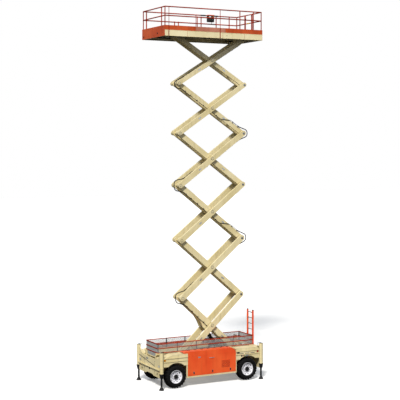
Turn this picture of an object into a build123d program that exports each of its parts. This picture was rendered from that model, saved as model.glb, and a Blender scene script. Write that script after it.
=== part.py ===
"""Rough-terrain scissor lift, standing on its jacks with the platform fully raised.

Millimetres. +Z is up and +X points to the rear, where the ladder is; the left side is at -Y.
The origin lies on the ground, under the middle of the machine.
"""
import os
from math import cos, radians, sin, tan

from build123d import *

# ---- Driving dimensions -------------------------------------------------------------------

# Scissor stack
STAGES = 6
ARM_LENGTH = 3870  # end pin to end pin
FIRST_ANGLE = 42.3  # slope of the lowest arms at full height, degrees
ANGLE_STEP = 2.1  # each stage lies this much flatter than the one below
ARM_DEPTHS = (250, 250, 240, 230, 205, 185)  # one for each stage, from the lowest up
ARM_THICKNESS = 80
INNER_ARM_Y = 180  # middle of an inner arm, from the centre plane
OUTER_ARM_Y = 310
ARM_PIN_R = 35
CENTRE_PIN_R = 38
BOSS_R = 70
PIN_CLEARANCE = 0.5
PIN_HEAD_GAP = 5
PIN_HEAD = 10
BRACE_R = 45  # round braces between the two inner arms
BRACE_FROM_CENTRE = 1200
GUSSET_FRONT = 950  # the belly under the lowest inner arms ends this far before their centre
GUSSET_REAR = 220
GUSSET_FLAT = 260
GUSSET_DEPTH = 180
REAR_PIN_Z = 1060

# Chassis
END_PLATE_X = 2405  # inner face of an end plate
END_PLATE_THICKNESS = 40
PIN_OVERHANG = 560  # from the rear pin of the lowest inner arms to the end plate
RAIL_CLEARANCE = 120  # from the outer arms to a frame rail
RAIL_WIDTH = 80
RAIL_BOTTOM = 600
RAIL_TOP = 1400
RAIL_FLANGE = 60
RAIL_WEB = 25
CROSS_MEMBER_X = (-1400, -300, 500)  # between the two that stand near the end plates
END_MEMBER_INSET = 155
END_DECK = 250  # length of the deck strip under the ladder
MESH_SILL_Z = 1240  # bottom of the bar across the frame below the fence's front end
CROSS_MEMBER = (140, 160)  # length along the machine, depth
REAR_MEMBER_BOTTOM = 700  # the member under the rear pin clears the axle housing
REAR_MEMBER_LENGTH = 300
REAR_PIN_EAR = (180, 30)  # width and thickness
FOOT_MEMBER = (200, 100)  # under the lift cylinders: length, depth
FOOT_EAR = (90, 20)  # the ears that hold the cylinders' lower pin: width, thickness
DECK_TOP = 1440
DECK_THICKNESS = 40
SIDE_Y = 1170  # outer face of the body sides
SKIRT_THICKNESS = 30
SKIRT_BOTTOM = 950
LIP = 25
LIP_LEVELS = (1150, 1290)
DECK_SLOPES = ((-1, 475, 170, 600), (1, 200, 120, 1040))  # end, length, drop, inner edge in Y
TOW_HOLE = (750, 35)  # height and radius

# Wheels and axles
WHEEL_OVERHANG = 665  # from the middle of a wheel to the end plate
TYRE_R = 500
TYRE_WIDTH = 370
TREAD_WIDTH = 190
TYRE_BEAD = 40
SIDEWALL_BULGE = 0.4  # share of the sidewall that slopes at the bead and at the tread
WHEEL_Y = 1015
RIM_R = 280
RIM_WALL = 12
HUB_R = 110
SPINDLE_R = 60
ARCH_GAP = 80
AXLE_R = 85
AXLE_END = 700
KINGPIN_Y = 775
KINGPIN_R = 32
KNUCKLE_HEIGHT = 260

# Jacks
JACK_OUTSET = 25  # from the inner face of the end plate
JACK_Y = 1155
JACK_TUBE_R = 85
JACK_ROD_R = 42
JACK_TUBE_BOTTOM = 500
JACK_TUBE_TOP = 1570
JACK_COLLAR_R = 95
JACK_COLLAR_TIP_R = 58
JACK_COLLAR_HEIGHT = 150
JACK_FOOT_R = 105
JACK_ROD_INSIDE = 560
EAR_TOP = 1550
EAR_WIDTH = 45
EAR_INNER_Y = 800
EAR_FOOT_Z = 1265
PLATE_TOP = 1210
PLATE_BOTTOM = 480
TIE_DOWN = (760, 620)  # Y and Z of the lashing holes
TIE_DOWN_R = 30

# Side bays between the wheels
BAY_FRONT_GAP = 640  # from the front wheel's middle, which leaves the tyre room to steer
BAY_REAR_GAP = 590
DOOR_FRONT_GAP = 550
ROOF_FRONT_GAP = 340
BAY_BOTTOM = 460
BAY_WALL = 20
BAY_TOP = 1320
SILL = (30, 60)  # width and depth of the cream frame round a bay's door
SILL_GAP = 5
DOOR_POSTS = (50, 30)  # width of the frame's posts in front of and behind the door
HOOD_TOP = 1500
HOOD_HINGE_Y = 800
HOOD_SHEET = 20
HOOD_GAP = 5
HOOD_SLANT = (190, 150)  # length and drop of the slope at the hood's rear end
HINGE_PIN_R = 12
RUNNING_GAP = 0.3  # between a moving piece and what it runs or rests on
ENGINE = (900, 330, 560)  # length, width, height
ENGINE_PLACE = (-100, 100)  # its middle in X, and how far it stands off the frame rail

# Guard fence and ladder
FENCE_INSET = (75, 90)  # from the front and the rear end plate
FENCE_Y = 580
FENCE_TOP = 1850
FENCE_TUBE = 32
FENCE_POSTS = 6
LADDER_GAP = 5
LADDER_Y = (-560, -100)
LADDER_TOP = 2960
LADDER_TUBE = 60
RUNG_R = 16
RUNG_STEP = 250

# Platform
PLATFORM_X = (-2280, 2520)
PLATFORM_Y = 1130
FASCIA_THICKNESS = 50
FASCIA_DEPTH = 260
FLOOR_THICKNESS = 40
FLOOR_STEP = 5  # the floor panel stands this much above the rim that carries the rails
RIM_WIDTH = 70
FLOOR_OVER_PIN = 170  # from the highest pins to the floor
TOE_HEIGHT = 195
TOE_THICKNESS = 15
TOE_RECESS_X = (-800, 660)  # where the outer skin of the toe boards is interrupted
TOE_SKIN = 12
TOP_RAIL_HEIGHT = 980
MID_RAIL_HEIGHT = 600
RAIL_TUBE_R = 25
POST_TUBE_R = 22
STAY_R = 12
STAY_X = (-2080, 390)  # thin stays outside the fascia
STUB_POST_X = (-710, -520)  # pair of posts under the middle rail only
POST_X = (1400, 2080)
BEAM_WIDTH = 60
JOISTS = (9, 60, 80)  # number on each side, width, depth
GATE_Y = (-265, 305)
GATE_POST_GAP = 45
FRONT_POST_Y = (-760, 760)
CONTROL_BOX = (300, 160, 320)  # length along the machine, depth, height
CONTROL_BOX_X = 1050

# Rollers and their tracks
ROLLER_R = 60
ROLLER_GAP = 6
ROLLER_WIDTH = 44
TRACK_GAP = 0.4
TRACK_END = (250, 200)  # how far a track runs past the roller towards the middle and the end
TRACK_PLATE = 20
TRACK_HEIGHT_GAP = 12

# Lift cylinders
CYLINDER_FOOT = (1200, 850)  # X and Z of the lower pin
CYLINDER_Y = 72
CYLINDER_PIN_R = 25
BARREL_R = 60
BARREL_LENGTH = 1400
CYLINDER_ROD_R = 38
CYLINDER_ROD_LENGTH = 1200
CYLINDER_EYE_R = 80
CYLINDER_EYE_HOLE_R = 54
CYLINDER_EYE_WIDTH = 60
BARREL_EYE_WIDTH = 84
LIFT_PIN_FORWARD = 200  # along the lowest inner arm, from its centre
LIFT_PIN_DROP = 85  # under the arm's lower edge

# Hoses, which climb the stack on the left side, between the inner and the outer arms
HOSE_R = 16
HOSE_OFF_EDGE = 22  # from an arm's edge to the hose's middle
HOSE_BEND = 180
HOSE_ENDS = (300, 60, 40)  # straight until here from a pin, reach past the pin, reach off the edge
HOSE_CROSSING = (0.22, 0.34)  # share of the arm's length where the hose changes edges
CLIP_PLACES = (0.14, 0.42, 0.66, 0.88)
CLIP_LENGTH = 36
CLIP_WALL = 3
CLIP_GRIP = 20  # how far a clip reaches onto the arm

os.makedirs("parts", exist_ok=True)


# ---- Helpers ------------------------------------------------------------------------------

def block(x, y, z, mode=Mode.ADD):
    """A box between two limits on each axis."""
    middle = tuple((low + high) / 2 for low, high in (x, y, z))
    with Locations(middle):
        Box(x[1] - x[0], y[1] - y[0], z[1] - z[0], mode=mode)


def round_bar(start, end, radius, mode=Mode.ADD):
    """A cylinder from one point to another."""
    way = Vector(*end) - Vector(*start)
    with Locations(Plane(origin=start, z_dir=way.normalized())):
        Cylinder(radius, way.length, align=(Align.CENTER, Align.CENTER, Align.MIN), mode=mode)


def cross_bar(x, z, radius, half_length, mode=Mode.ADD):
    """A cylinder across the machine, as long to the left as to the right."""
    round_bar((x, -half_length, z), (x, half_length, z), radius, mode)


def on_side(side, near, far):
    """Two distances from the centre plane as limits in Y on one side of the machine."""
    return sorted((side * near, side * far))


def save(piece, label):
    piece.part.label = label
    export_step(piece.part, f"parts/{label}.step")


# ---- Places that follow from the dimensions -------------------------------------------------

AXLE_X = END_PLATE_X - WHEEL_OVERHANG
REAR_PIN_X = END_PLATE_X - PIN_OVERHANG
JACK_X = END_PLATE_X + JACK_OUTSET
OUTER_FACE_Y = OUTER_ARM_Y + ARM_THICKNESS / 2
INNER_FACE_Y = INNER_ARM_Y + ARM_THICKNESS / 2
PIN_END_Y = OUTER_FACE_Y + PIN_HEAD_GAP + PIN_HEAD
PIN_HEAD_R = ARM_PIN_R + 20
RAIL_Y = OUTER_FACE_Y + RAIL_CLEARANCE  # inner face of a frame rail
BEAM_Y = RAIL_Y
ROLLER_Y = (OUTER_FACE_Y + ROLLER_GAP, OUTER_FACE_Y + ROLLER_GAP + ROLLER_WIDTH)
ARCH_R = TYRE_R + ARCH_GAP
BAY_X = (BAY_FRONT_GAP - AXLE_X, AXLE_X - BAY_REAR_GAP)
DOOR_X = (DOOR_FRONT_GAP - AXLE_X, BAY_X[1])
ROOF_X = (ROOF_FRONT_GAP - AXLE_X, BAY_X[1])
HINGE_Z = HOOD_TOP - HOOD_SHEET / 2
FENCE_X = (FENCE_INSET[0] - END_PLATE_X, END_PLATE_X - FENCE_INSET[1])
LADDER_X = FENCE_X[1] + FENCE_TUBE / 2 + LADDER_GAP
HOSE_Y = (INNER_FACE_Y + OUTER_ARM_Y - ARM_THICKNESS / 2) / 2
CORNERS = (("front_left", -1, -1), ("front_right", -1, 1),
           ("rear_left", 1, -1), ("rear_right", 1, 1))  # name, end, side

# Each arm's centre pin stands off the line of its end pins. That offset is what makes the
# stages lie flatter one after another, by the same angle through the whole lift.
HALF_STEP = radians(ANGLE_STEP / 2)
PIN_OFFSET = ARM_LENGTH / 2 * tan(HALF_STEP)
HALF_ARM = ARM_LENGTH / 2 / cos(HALF_STEP)
COLUMN_X = REAR_PIN_X - HALF_ARM * cos(radians(FIRST_ANGLE) + HALF_STEP)

stages = []  # columns: angle, bottom z, centre z, top z, half width at the bottom, at the top
level = REAR_PIN_Z
for index in range(STAGES):
    angle = radians(FIRST_ANGLE - index * ANGLE_STEP)
    centre = level + HALF_ARM * sin(angle + HALF_STEP)
    top = centre + HALF_ARM * sin(angle - HALF_STEP)
    stages.append((angle, level, centre, top,
                   HALF_ARM * cos(angle + HALF_STEP), HALF_ARM * cos(angle - HALF_STEP)))
    level = top
TOP_PIN_Z = level
TOP_PIN_X = COLUMN_X + stages[-1][5]
TOP_ROLLER_X = COLUMN_X - stages[-1][5]
FOOT_ROLLER_X = COLUMN_X - stages[0][4]

FLOOR_TOP = TOP_PIN_Z + FLOOR_OVER_PIN
RIM_TOP = FLOOR_TOP - FLOOR_STEP
FASCIA_BOTTOM = FLOOR_TOP - FASCIA_DEPTH
TOP_RAIL_Z = FLOOR_TOP + TOP_RAIL_HEIGHT
MID_RAIL_Z = FLOOR_TOP + MID_RAIL_HEIGHT
RAIL_INSET = TOE_THICKNESS + RAIL_TUBE_R
RAIL_X = (PLATFORM_X[0] + RAIL_INSET, PLATFORM_X[1] - RAIL_INSET)
SIDE_RAIL_Y = PLATFORM_Y - RAIL_INSET
GATE_POSTS = (GATE_Y[0] - GATE_POST_GAP, GATE_Y[1] + GATE_POST_GAP)
GATE_BOTTOM = FLOOR_TOP + 60


def arm_plane(stage, lean):
    """The arm's own plane: X along its end pins from the lower one, Y to its upper side."""
    angle, bottom = stage[0], stage[1]
    origin = (COLUMN_X - lean * stage[4], 0, bottom)
    return Plane(origin=origin, x_dir=(lean * cos(angle), 0, sin(angle)), z_dir=(0, -lean, 0))


def arm_point(stage, lean, along, up=0.0):
    """X and Z of a point given along an arm and towards its upper side."""
    place = arm_plane(stage, lean).from_local_coords(Vector(along, up, 0))
    return place.X, place.Z


def arm_pair(stage, depth, lean, middle_y):
    """Two parallel arms with round ends, one on each side of the centre plane."""
    with BuildPart() as pair:
        with BuildSketch(arm_plane(stage, lean)) as outline:
            with Locations((ARM_LENGTH / 2, PIN_OFFSET / 2)):
                SlotCenterToCenter(ARM_LENGTH, depth)
        extrude(outline.sketch, amount=middle_y + ARM_THICKNESS / 2, both=True)
        with BuildSketch(arm_plane(stage, lean)) as inside:
            with Locations((ARM_LENGTH / 2, PIN_OFFSET / 2)):
                Rectangle(ARM_LENGTH + 2 * depth, 2 * depth)
        extrude(inside.sketch, amount=middle_y - ARM_THICKNESS / 2, both=True,
                mode=Mode.SUBTRACT)
    return pair.part


# The lift pin hangs in the belly plates under the lowest inner arms
LOWER_EDGE = PIN_OFFSET / 2 - ARM_DEPTHS[0] / 2
LIFT_PIN = (ARM_LENGTH / 2 + LIFT_PIN_FORWARD, LOWER_EDGE - LIFT_PIN_DROP)
LUG_X, LUG_Z = arm_point(stages[0], -1, *LIFT_PIN)


def belly():
    """Outline of the plate under a lowest inner arm, with a hollow curve to the front."""
    root = LOWER_EDGE + 20
    rear = ARM_LENGTH / 2 - GUSSET_REAR
    flat = ARM_LENGTH / 2 + GUSSET_FLAT
    front = ARM_LENGTH / 2 + GUSSET_FRONT
    bottom = LOWER_EDGE - GUSSET_DEPTH
    with BuildSketch(arm_plane(stages[0], -1)) as outline:
        with BuildLine():
            Polyline((front, root), (rear, root), (rear + 150, bottom), (flat, bottom))
            middle = ((flat + front) / 2, (root + bottom) / 2 + GUSSET_DEPTH * 0.22)
            ThreePointArc((flat, bottom), middle, (front, root))
        make_face()
    return outline.sketch


# ---- Scissor arms -------------------------------------------------------------------------
# Inner arms rise to the front. They carry the centre pin and the pin at their upper end.
# Outer arms rise to the rear. They carry the pin at their own upper end.

BOSS_Y = OUTER_ARM_Y - ARM_THICKNESS / 2 - PIN_HEAD_GAP
for number, (stage, depth) in enumerate(zip(stages, ARM_DEPTHS), start=1):
    centre = (COLUMN_X, stage[2])
    low_rear = (COLUMN_X + stage[4], stage[1])
    low_front = (COLUMN_X - stage[4], stage[1])
    top_front = (COLUMN_X - stage[5], stage[3])
    top_rear = (COLUMN_X + stage[5], stage[3])

    with BuildPart() as inner:
        add(arm_pair(stage, depth, -1, INNER_ARM_Y))
        for along in (ARM_LENGTH / 2 - BRACE_FROM_CENTRE, ARM_LENGTH / 2 + BRACE_FROM_CENTRE):
            brace = arm_point(stage, -1, along, PIN_OFFSET / 2)
            cross_bar(*brace, BRACE_R, INNER_ARM_Y)
        cross_bar(*centre, CENTRE_PIN_R, PIN_END_Y)
        pin_reach = ROLLER_Y[1] if number == STAGES else PIN_END_Y
        cross_bar(*top_front, ARM_PIN_R, pin_reach)
        # A boss and a head on each pin that holds an outer arm; the highest pin holds rollers
        heads = (centre,) if number == STAGES else (centre, top_front)
        for side in (-1, 1):
            for x, z in heads:
                round_bar((x, side * INNER_FACE_Y, z), (x, side * BOSS_Y, z), BOSS_R)
                round_bar((x, side * (PIN_END_Y - PIN_HEAD), z), (x, side * PIN_END_Y, z),
                          PIN_HEAD_R)
        if number == STAGES:
            x, z = top_front
            for side in (-1, 1):
                round_bar((x, side * ROLLER_Y[0], z), (x, side * ROLLER_Y[1], z), ROLLER_R)
        if number == 1:
            extrude(belly(), amount=INNER_FACE_Y, both=True)
            extrude(belly(), amount=INNER_FACE_Y - ARM_THICKNESS, both=True, mode=Mode.SUBTRACT)
            cross_bar(LUG_X, LUG_Z, CYLINDER_PIN_R, INNER_ARM_Y)
            cross_bar(*centre, CENTRE_PIN_R, INNER_ARM_Y)
        cross_bar(*low_rear, ARM_PIN_R + PIN_CLEARANCE, PIN_END_Y, Mode.SUBTRACT)
    save(inner, f"arm_inner_{number}")

    with BuildPart() as outer:
        add(arm_pair(stage, depth, 1, OUTER_ARM_Y))
        reach = ROLLER_Y[1] if number == STAGES else OUTER_FACE_Y
        cross_bar(*top_rear, ARM_PIN_R, reach)
        if number == 1:
            for side in (-1, 1):
                x, z = low_front
                round_bar((x, side * OUTER_FACE_Y, z), (x, side * ROLLER_Y[1], z), ARM_PIN_R)
                round_bar((x, side * ROLLER_Y[0], z), (x, side * ROLLER_Y[1], z), ROLLER_R)
        else:
            cross_bar(*low_front, ARM_PIN_R + PIN_CLEARANCE, PIN_END_Y, Mode.SUBTRACT)
        cross_bar(*centre, CENTRE_PIN_R + PIN_CLEARANCE, PIN_END_Y, Mode.SUBTRACT)
    save(outer, f"arm_outer_{number}")


# ---- Chassis frame ------------------------------------------------------------------------

def roller_track(side, x, roller_z):
    """A channel that holds a roller: a plate under it and one over it."""
    y = on_side(side, ROLLER_Y[0], RAIL_Y)
    under = roller_z - ROLLER_R - TRACK_GAP
    over = roller_z + ROLLER_R + TRACK_HEIGHT_GAP
    block(x, y, (under - TRACK_PLATE, under))
    block(x, y, (over, over + TRACK_PLATE))


FOOT_TRACK_X = (-END_PLATE_X + END_DECK, FOOT_ROLLER_X + TRACK_END[0])
END_MEMBER_X = END_PLATE_X - END_MEMBER_INSET
with BuildPart() as frame:
    for side in (-1, 1):
        web = on_side(side, RAIL_Y, RAIL_Y + RAIL_WEB)
        flange = on_side(side, RAIL_Y, RAIL_Y + RAIL_WIDTH)
        length = (-END_PLATE_X, END_PLATE_X)
        block(length, web, (RAIL_BOTTOM, RAIL_TOP))
        block(length, flange, (RAIL_BOTTOM, RAIL_BOTTOM + RAIL_FLANGE))
        block(length, flange, (RAIL_TOP - RAIL_FLANGE, RAIL_TOP))
        roller_track(side, FOOT_TRACK_X, REAR_PIN_Z)
    for x in (-END_MEMBER_X, *CROSS_MEMBER_X, END_MEMBER_X):
        block((x - CROSS_MEMBER[0] / 2, x + CROSS_MEMBER[0] / 2), (-RAIL_Y, RAIL_Y),
              (RAIL_BOTTOM, RAIL_BOTTOM + CROSS_MEMBER[1]))
    half = FENCE_TUBE / 2
    block((FENCE_X[0] - half, FENCE_X[0] + half), (-RAIL_Y, RAIL_Y),
          (MESH_SILL_Z, MESH_SILL_Z + FENCE_TUBE))
    # Rear pin: two ears on a cross member, with the pin of the lowest inner arms
    ear_y = INNER_FACE_Y + PIN_HEAD_GAP
    member_top = REAR_MEMBER_BOTTOM + CROSS_MEMBER[1]
    half = REAR_MEMBER_LENGTH / 2
    block((REAR_PIN_X - half, REAR_PIN_X + half), (-RAIL_Y, RAIL_Y),
          (REAR_MEMBER_BOTTOM, member_top))
    for side in (-1, 1):
        y = on_side(side, ear_y, ear_y + REAR_PIN_EAR[1])
        half = REAR_PIN_EAR[0] / 2
        block((REAR_PIN_X - half, REAR_PIN_X + half), y, (member_top, REAR_PIN_Z))
        round_bar((REAR_PIN_X, y[0], REAR_PIN_Z), (REAR_PIN_X, y[1], REAR_PIN_Z), half)
    cross_bar(REAR_PIN_X, REAR_PIN_Z, ARM_PIN_R, ear_y)
    # Foot of the lift cylinders: a cross member with three ears and a pin
    foot_x, foot_z = CYLINDER_FOOT
    foot_top = RAIL_BOTTOM + FOOT_MEMBER[1]
    half = FOOT_MEMBER[0] / 2
    block((foot_x - half, foot_x + half), (-RAIL_Y, RAIL_Y), (RAIL_BOTTOM, foot_top))
    half, half_thickness = FOOT_EAR[0] / 2, FOOT_EAR[1] / 2
    outer_ear = CYLINDER_Y + BARREL_R + half_thickness + 2
    for middle in (-outer_ear, 0, outer_ear):
        y = (middle - half_thickness, middle + half_thickness)
        block((foot_x - half, foot_x + half), y, (foot_top, foot_z))
        round_bar((foot_x, y[0], foot_z), (foot_x, y[1], foot_z), half)
    cross_bar(foot_x, foot_z, CYLINDER_PIN_R, outer_ear + half_thickness)
save(frame, "chassis_frame")

with BuildPart() as deck:
    deck_z = (DECK_TOP - DECK_THICKNESS, DECK_TOP)
    block((END_PLATE_X - END_DECK, END_PLATE_X), (-RAIL_Y, RAIL_Y), deck_z)
    for side in (-1, 1):
        hinge_foot = HOOD_HINGE_Y - 30
        block((-END_PLATE_X, END_PLATE_X), on_side(side, RAIL_Y, hinge_foot), deck_z)
        for x in ((-END_PLATE_X, DOOR_X[0] - HOOD_GAP), (BAY_X[1] + HOOD_GAP, END_PLATE_X)):
            block(x, on_side(side, hinge_foot, SIDE_Y), deck_z)
            block(x, on_side(side, SIDE_Y - SKIRT_THICKNESS, SIDE_Y), (SKIRT_BOTTOM, deck_z[0]))
            for lip_z in LIP_LEVELS:
                block(x, on_side(side, SIDE_Y, SIDE_Y + LIP), (lip_z, lip_z + LIP))
        for end, length, drop, inner_y in DECK_SLOPES:
            round_bar((end * AXLE_X, side * (SIDE_Y - 2 * SKIRT_THICKNESS), TYRE_R),
                      (end * AXLE_X, side * (SIDE_Y + 2 * LIP), TYRE_R), ARCH_R, Mode.SUBTRACT)
            # The side deck slopes down towards the end plate
            reach = (SIDE_Y + 2 * LIP - inner_y) / 2
            high = end * (END_PLATE_X - length)
            low = end * (END_PLATE_X + 1)
            corner = (low, DECK_TOP - drop)
            with BuildSketch(Plane.XZ.offset(-side * (inner_y + reach))) as slope:
                with BuildLine():
                    Polyline((high, DECK_TOP + 1), (low, DECK_TOP + 1), corner, close=True)
                make_face()
            extrude(slope.sketch, amount=reach, both=True, mode=Mode.SUBTRACT)
            thick = DECK_THICKNESS
            with BuildSketch(Plane.XZ.offset(-side * (inner_y + reach - LIP))) as ramp:
                with BuildLine():
                    Polyline((high, DECK_TOP), (end * END_PLATE_X, DECK_TOP - drop),
                             (end * END_PLATE_X, DECK_TOP - drop - thick),
                             (high, DECK_TOP - thick), close=True)
                make_face()
            extrude(ramp.sketch, amount=reach - LIP, both=True)
            round_bar((end * JACK_X, side * JACK_Y, PLATE_BOTTOM),
                      (end * JACK_X, side * JACK_Y, DECK_TOP), JACK_COLLAR_R, Mode.SUBTRACT)
        # Hinge of the bay's hood: an upstand with a pin along its top edge
        hinge_x = (BAY_X[0] + 60, BAY_X[1] - 60)
        hinge_y = side * HOOD_HINGE_Y
        block(hinge_x, on_side(side, hinge_foot - 10, HOOD_HINGE_Y), (DECK_TOP - 10, HINGE_Z))
        round_bar((hinge_x[0], hinge_y, HINGE_Z), (hinge_x[1], hinge_y, HINGE_Z), HINGE_PIN_R)
save(deck, "deck")

for name, end in (("front", -1), ("rear", 1)):
    with BuildPart() as end_plate:
        with BuildSketch(Plane.YZ.offset(end * END_PLATE_X)) as outline:
            with BuildLine():
                half = (
                    (0, PLATE_BOTTOM + 60), (250, PLATE_BOTTOM + 60), (400, PLATE_BOTTOM),
                    (JACK_Y - 60, PLATE_BOTTOM), (JACK_Y, PLATE_BOTTOM + 60), (JACK_Y, EAR_TOP),
                    (JACK_Y - EAR_WIDTH, EAR_TOP), (EAR_INNER_Y, EAR_FOOT_Z),
                    (EAR_INNER_Y - 350, PLATE_TOP), (0, PLATE_TOP),
                )
                Polyline(*half, *((-y, z) for y, z in reversed(half[1:-1])), close=True)
            make_face()
        extrude(outline.sketch, amount=end * END_PLATE_THICKNESS)
        ledge = sorted((end * (END_PLATE_X + END_PLATE_THICKNESS), end * (END_PLATE_X + 100)))
        block(ledge, (-JACK_Y + JACK_TUBE_R, JACK_Y - JACK_TUBE_R), (800, 840))
        for side in (-1, 1):
            x, y = end * JACK_X, side * JACK_Y
            collar_top = JACK_TUBE_BOTTOM + JACK_COLLAR_HEIGHT
            round_bar((x, y, collar_top), (x, y, JACK_TUBE_TOP), JACK_TUBE_R)
            with Locations((x, y, JACK_TUBE_BOTTOM)):
                Cone(JACK_COLLAR_TIP_R, JACK_COLLAR_R, JACK_COLLAR_HEIGHT,
                     align=(Align.CENTER, Align.CENTER, Align.MIN))
            round_bar((x, y, PLATE_BOTTOM), (x, y, JACK_TUBE_TOP - 40),
                      JACK_ROD_R + RUNNING_GAP, Mode.SUBTRACT)
        holes = ((-TIE_DOWN[0], TIE_DOWN[1], TIE_DOWN_R), (TIE_DOWN[0], TIE_DOWN[1], TIE_DOWN_R),
                 (0, *TOW_HOLE))  # y, z, radius
        for y, z, radius in holes:
            round_bar((end * END_PLATE_X, y, z), (end * (END_PLATE_X + END_PLATE_THICKNESS), y, z),
                      radius, Mode.SUBTRACT)
    save(end_plate, f"end_plate_{name}")

for name, end, side in CORNERS:
    with BuildPart() as jack:
        x, y = end * JACK_X, side * JACK_Y
        round_bar((x, y, 40), (x, y, JACK_TUBE_BOTTOM + JACK_ROD_INSIDE), JACK_ROD_R)
        with BuildSketch(Plane.XZ) as foot:
            with BuildLine():
                Polyline((0, 0), (JACK_FOOT_R, 0), (JACK_FOOT_R, 25), (60, 90), (0, 90),
                         close=True)
            make_face()
        revolve(foot.sketch.moved(Location((x, y, 0))), axis=Axis((x, y, 0), (0, 0, 1)))
    save(jack, f"jack_{name}")

# ---- Axles, knuckles and wheels -----------------------------------------------------------

with BuildSketch(Plane.XY) as bowl:  # half section of the gear housing round the axle
    with BuildLine():
        Polyline((0, -170), (70, -160), (160, -70), (160, 70), (70, 160), (0, 170), close=True)
    make_face()


def gear_housing(x):
    revolve(bowl.sketch.moved(Location((x, 0, TYRE_R))), axis=Axis((x, 0, TYRE_R), (0, 1, 0)))


def axle_seats(x):
    """Blocks between the axle and the two frame rails."""
    for side in (-1, 1):
        block((x - 110, x + 110), on_side(side, RAIL_Y, RAIL_Y + RAIL_WIDTH),
              (TYRE_R, RAIL_BOTTOM))


with BuildPart() as rear_axle:
    cross_bar(AXLE_X, TYRE_R, AXLE_R, AXLE_END)
    gear_housing(AXLE_X)
    axle_seats(AXLE_X)
    cross_bar(AXLE_X, TYRE_R, SPINDLE_R - PIN_CLEARANCE, WHEEL_Y + 60)
    for side in (-1, 1):
        round_bar((AXLE_X, side * AXLE_END, TYRE_R), (AXLE_X, side * (AXLE_END + 60), TYRE_R), 130)
save(rear_axle, "rear_axle")

YOKE_Y = KINGPIN_Y - 80
with BuildPart() as front_axle:
    cross_bar(-AXLE_X, TYRE_R, AXLE_R, YOKE_Y - 40)
    gear_housing(-AXLE_X)
    axle_seats(-AXLE_X)
    half = KNUCKLE_HEIGHT / 2
    for side in (-1, 1):
        # Yoke: a back plate and two arms that hold the kingpin
        block((-AXLE_X - 60, -AXLE_X + 60), on_side(side, YOKE_Y - 40, YOKE_Y),
              (TYRE_R - half, TYRE_R + half))
        for z in ((TYRE_R - half, TYRE_R - half + 35), (TYRE_R + half - 35, TYRE_R + half)):
            block((-AXLE_X - 50, -AXLE_X + 50), on_side(side, YOKE_Y, KINGPIN_Y + 30), z)
        round_bar((-AXLE_X, side * KINGPIN_Y, TYRE_R - half),
                  (-AXLE_X, side * KINGPIN_Y, TYRE_R + half), KINGPIN_R)
save(front_axle, "front_axle")

for name, side in (("left", -1), ("right", 1)):
    with BuildPart() as knuckle:
        half = KNUCKLE_HEIGHT / 2 - 40
        x, y = -AXLE_X, side * KINGPIN_Y
        round_bar((x, y, TYRE_R - half), (x, y, TYRE_R + half), 58)
        round_bar((x, y, TYRE_R), (x, side * (WHEEL_Y + 60), TYRE_R), SPINDLE_R - PIN_CLEARANCE)
        round_bar((x, y, TYRE_R - half), (x, y, TYRE_R + half), KINGPIN_R + PIN_CLEARANCE,
                  Mode.SUBTRACT)
        # Steering arm
        block((x + 50, x + 210), on_side(side, KINGPIN_Y - 22, KINGPIN_Y + 18),
              (TYRE_R - 75, TYRE_R - 45))
    save(knuckle, f"knuckle_{name}")

bead_x = RIM_R + RUNNING_GAP
bulge = SIDEWALL_BULGE * (TYRE_R - RIM_R)
half = TYRE_WIDTH / 2
tyre_profile = ((bead_x, half - TYRE_BEAD), (RIM_R + bulge, half), (TYRE_R - bulge, half),
                (TYRE_R, TREAD_WIDTH / 2))  # radius and distance from the middle, outer half
rim_profile = (
    (SPINDLE_R, 20), (HUB_R, 20), (200, 60), (RIM_R - RIM_WALL, 60),
    (RIM_R - RIM_WALL, -half + TYRE_BEAD), (RIM_R, -half + TYRE_BEAD),
    (RIM_R, half - TYRE_BEAD), (RIM_R - RIM_WALL, half - TYRE_BEAD),
    (RIM_R - RIM_WALL, 72), (200, 72), (HUB_R, 36), (HUB_R, 110), (SPINDLE_R, 110),
)  # a barrel open to both sides, with a dished disc near the outer face
for name, end, side in CORNERS:
    centre = (end * AXLE_X, side * WHEEL_Y, TYRE_R)
    axle_line = Axis(centre, (0, 1, 0))
    outward = Plane(origin=centre, x_dir=(1, 0, 0), z_dir=(0, 0, side))
    with BuildPart() as tyre:
        with BuildSketch(outward) as section:
            with BuildLine():
                Polyline(*tyre_profile, *((r, -y) for r, y in reversed(tyre_profile)), close=True)
            make_face()
        revolve(section.sketch, axis=axle_line)
    save(tyre, f"tyre_{name}")

    with BuildPart() as rim:
        with BuildSketch(outward) as section:
            with BuildLine():
                Polyline(*rim_profile, close=True)
            make_face()
        revolve(section.sketch, axis=axle_line)
    save(rim, f"rim_{name}")

# ---- Side bays ----------------------------------------------------------------------------

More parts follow.
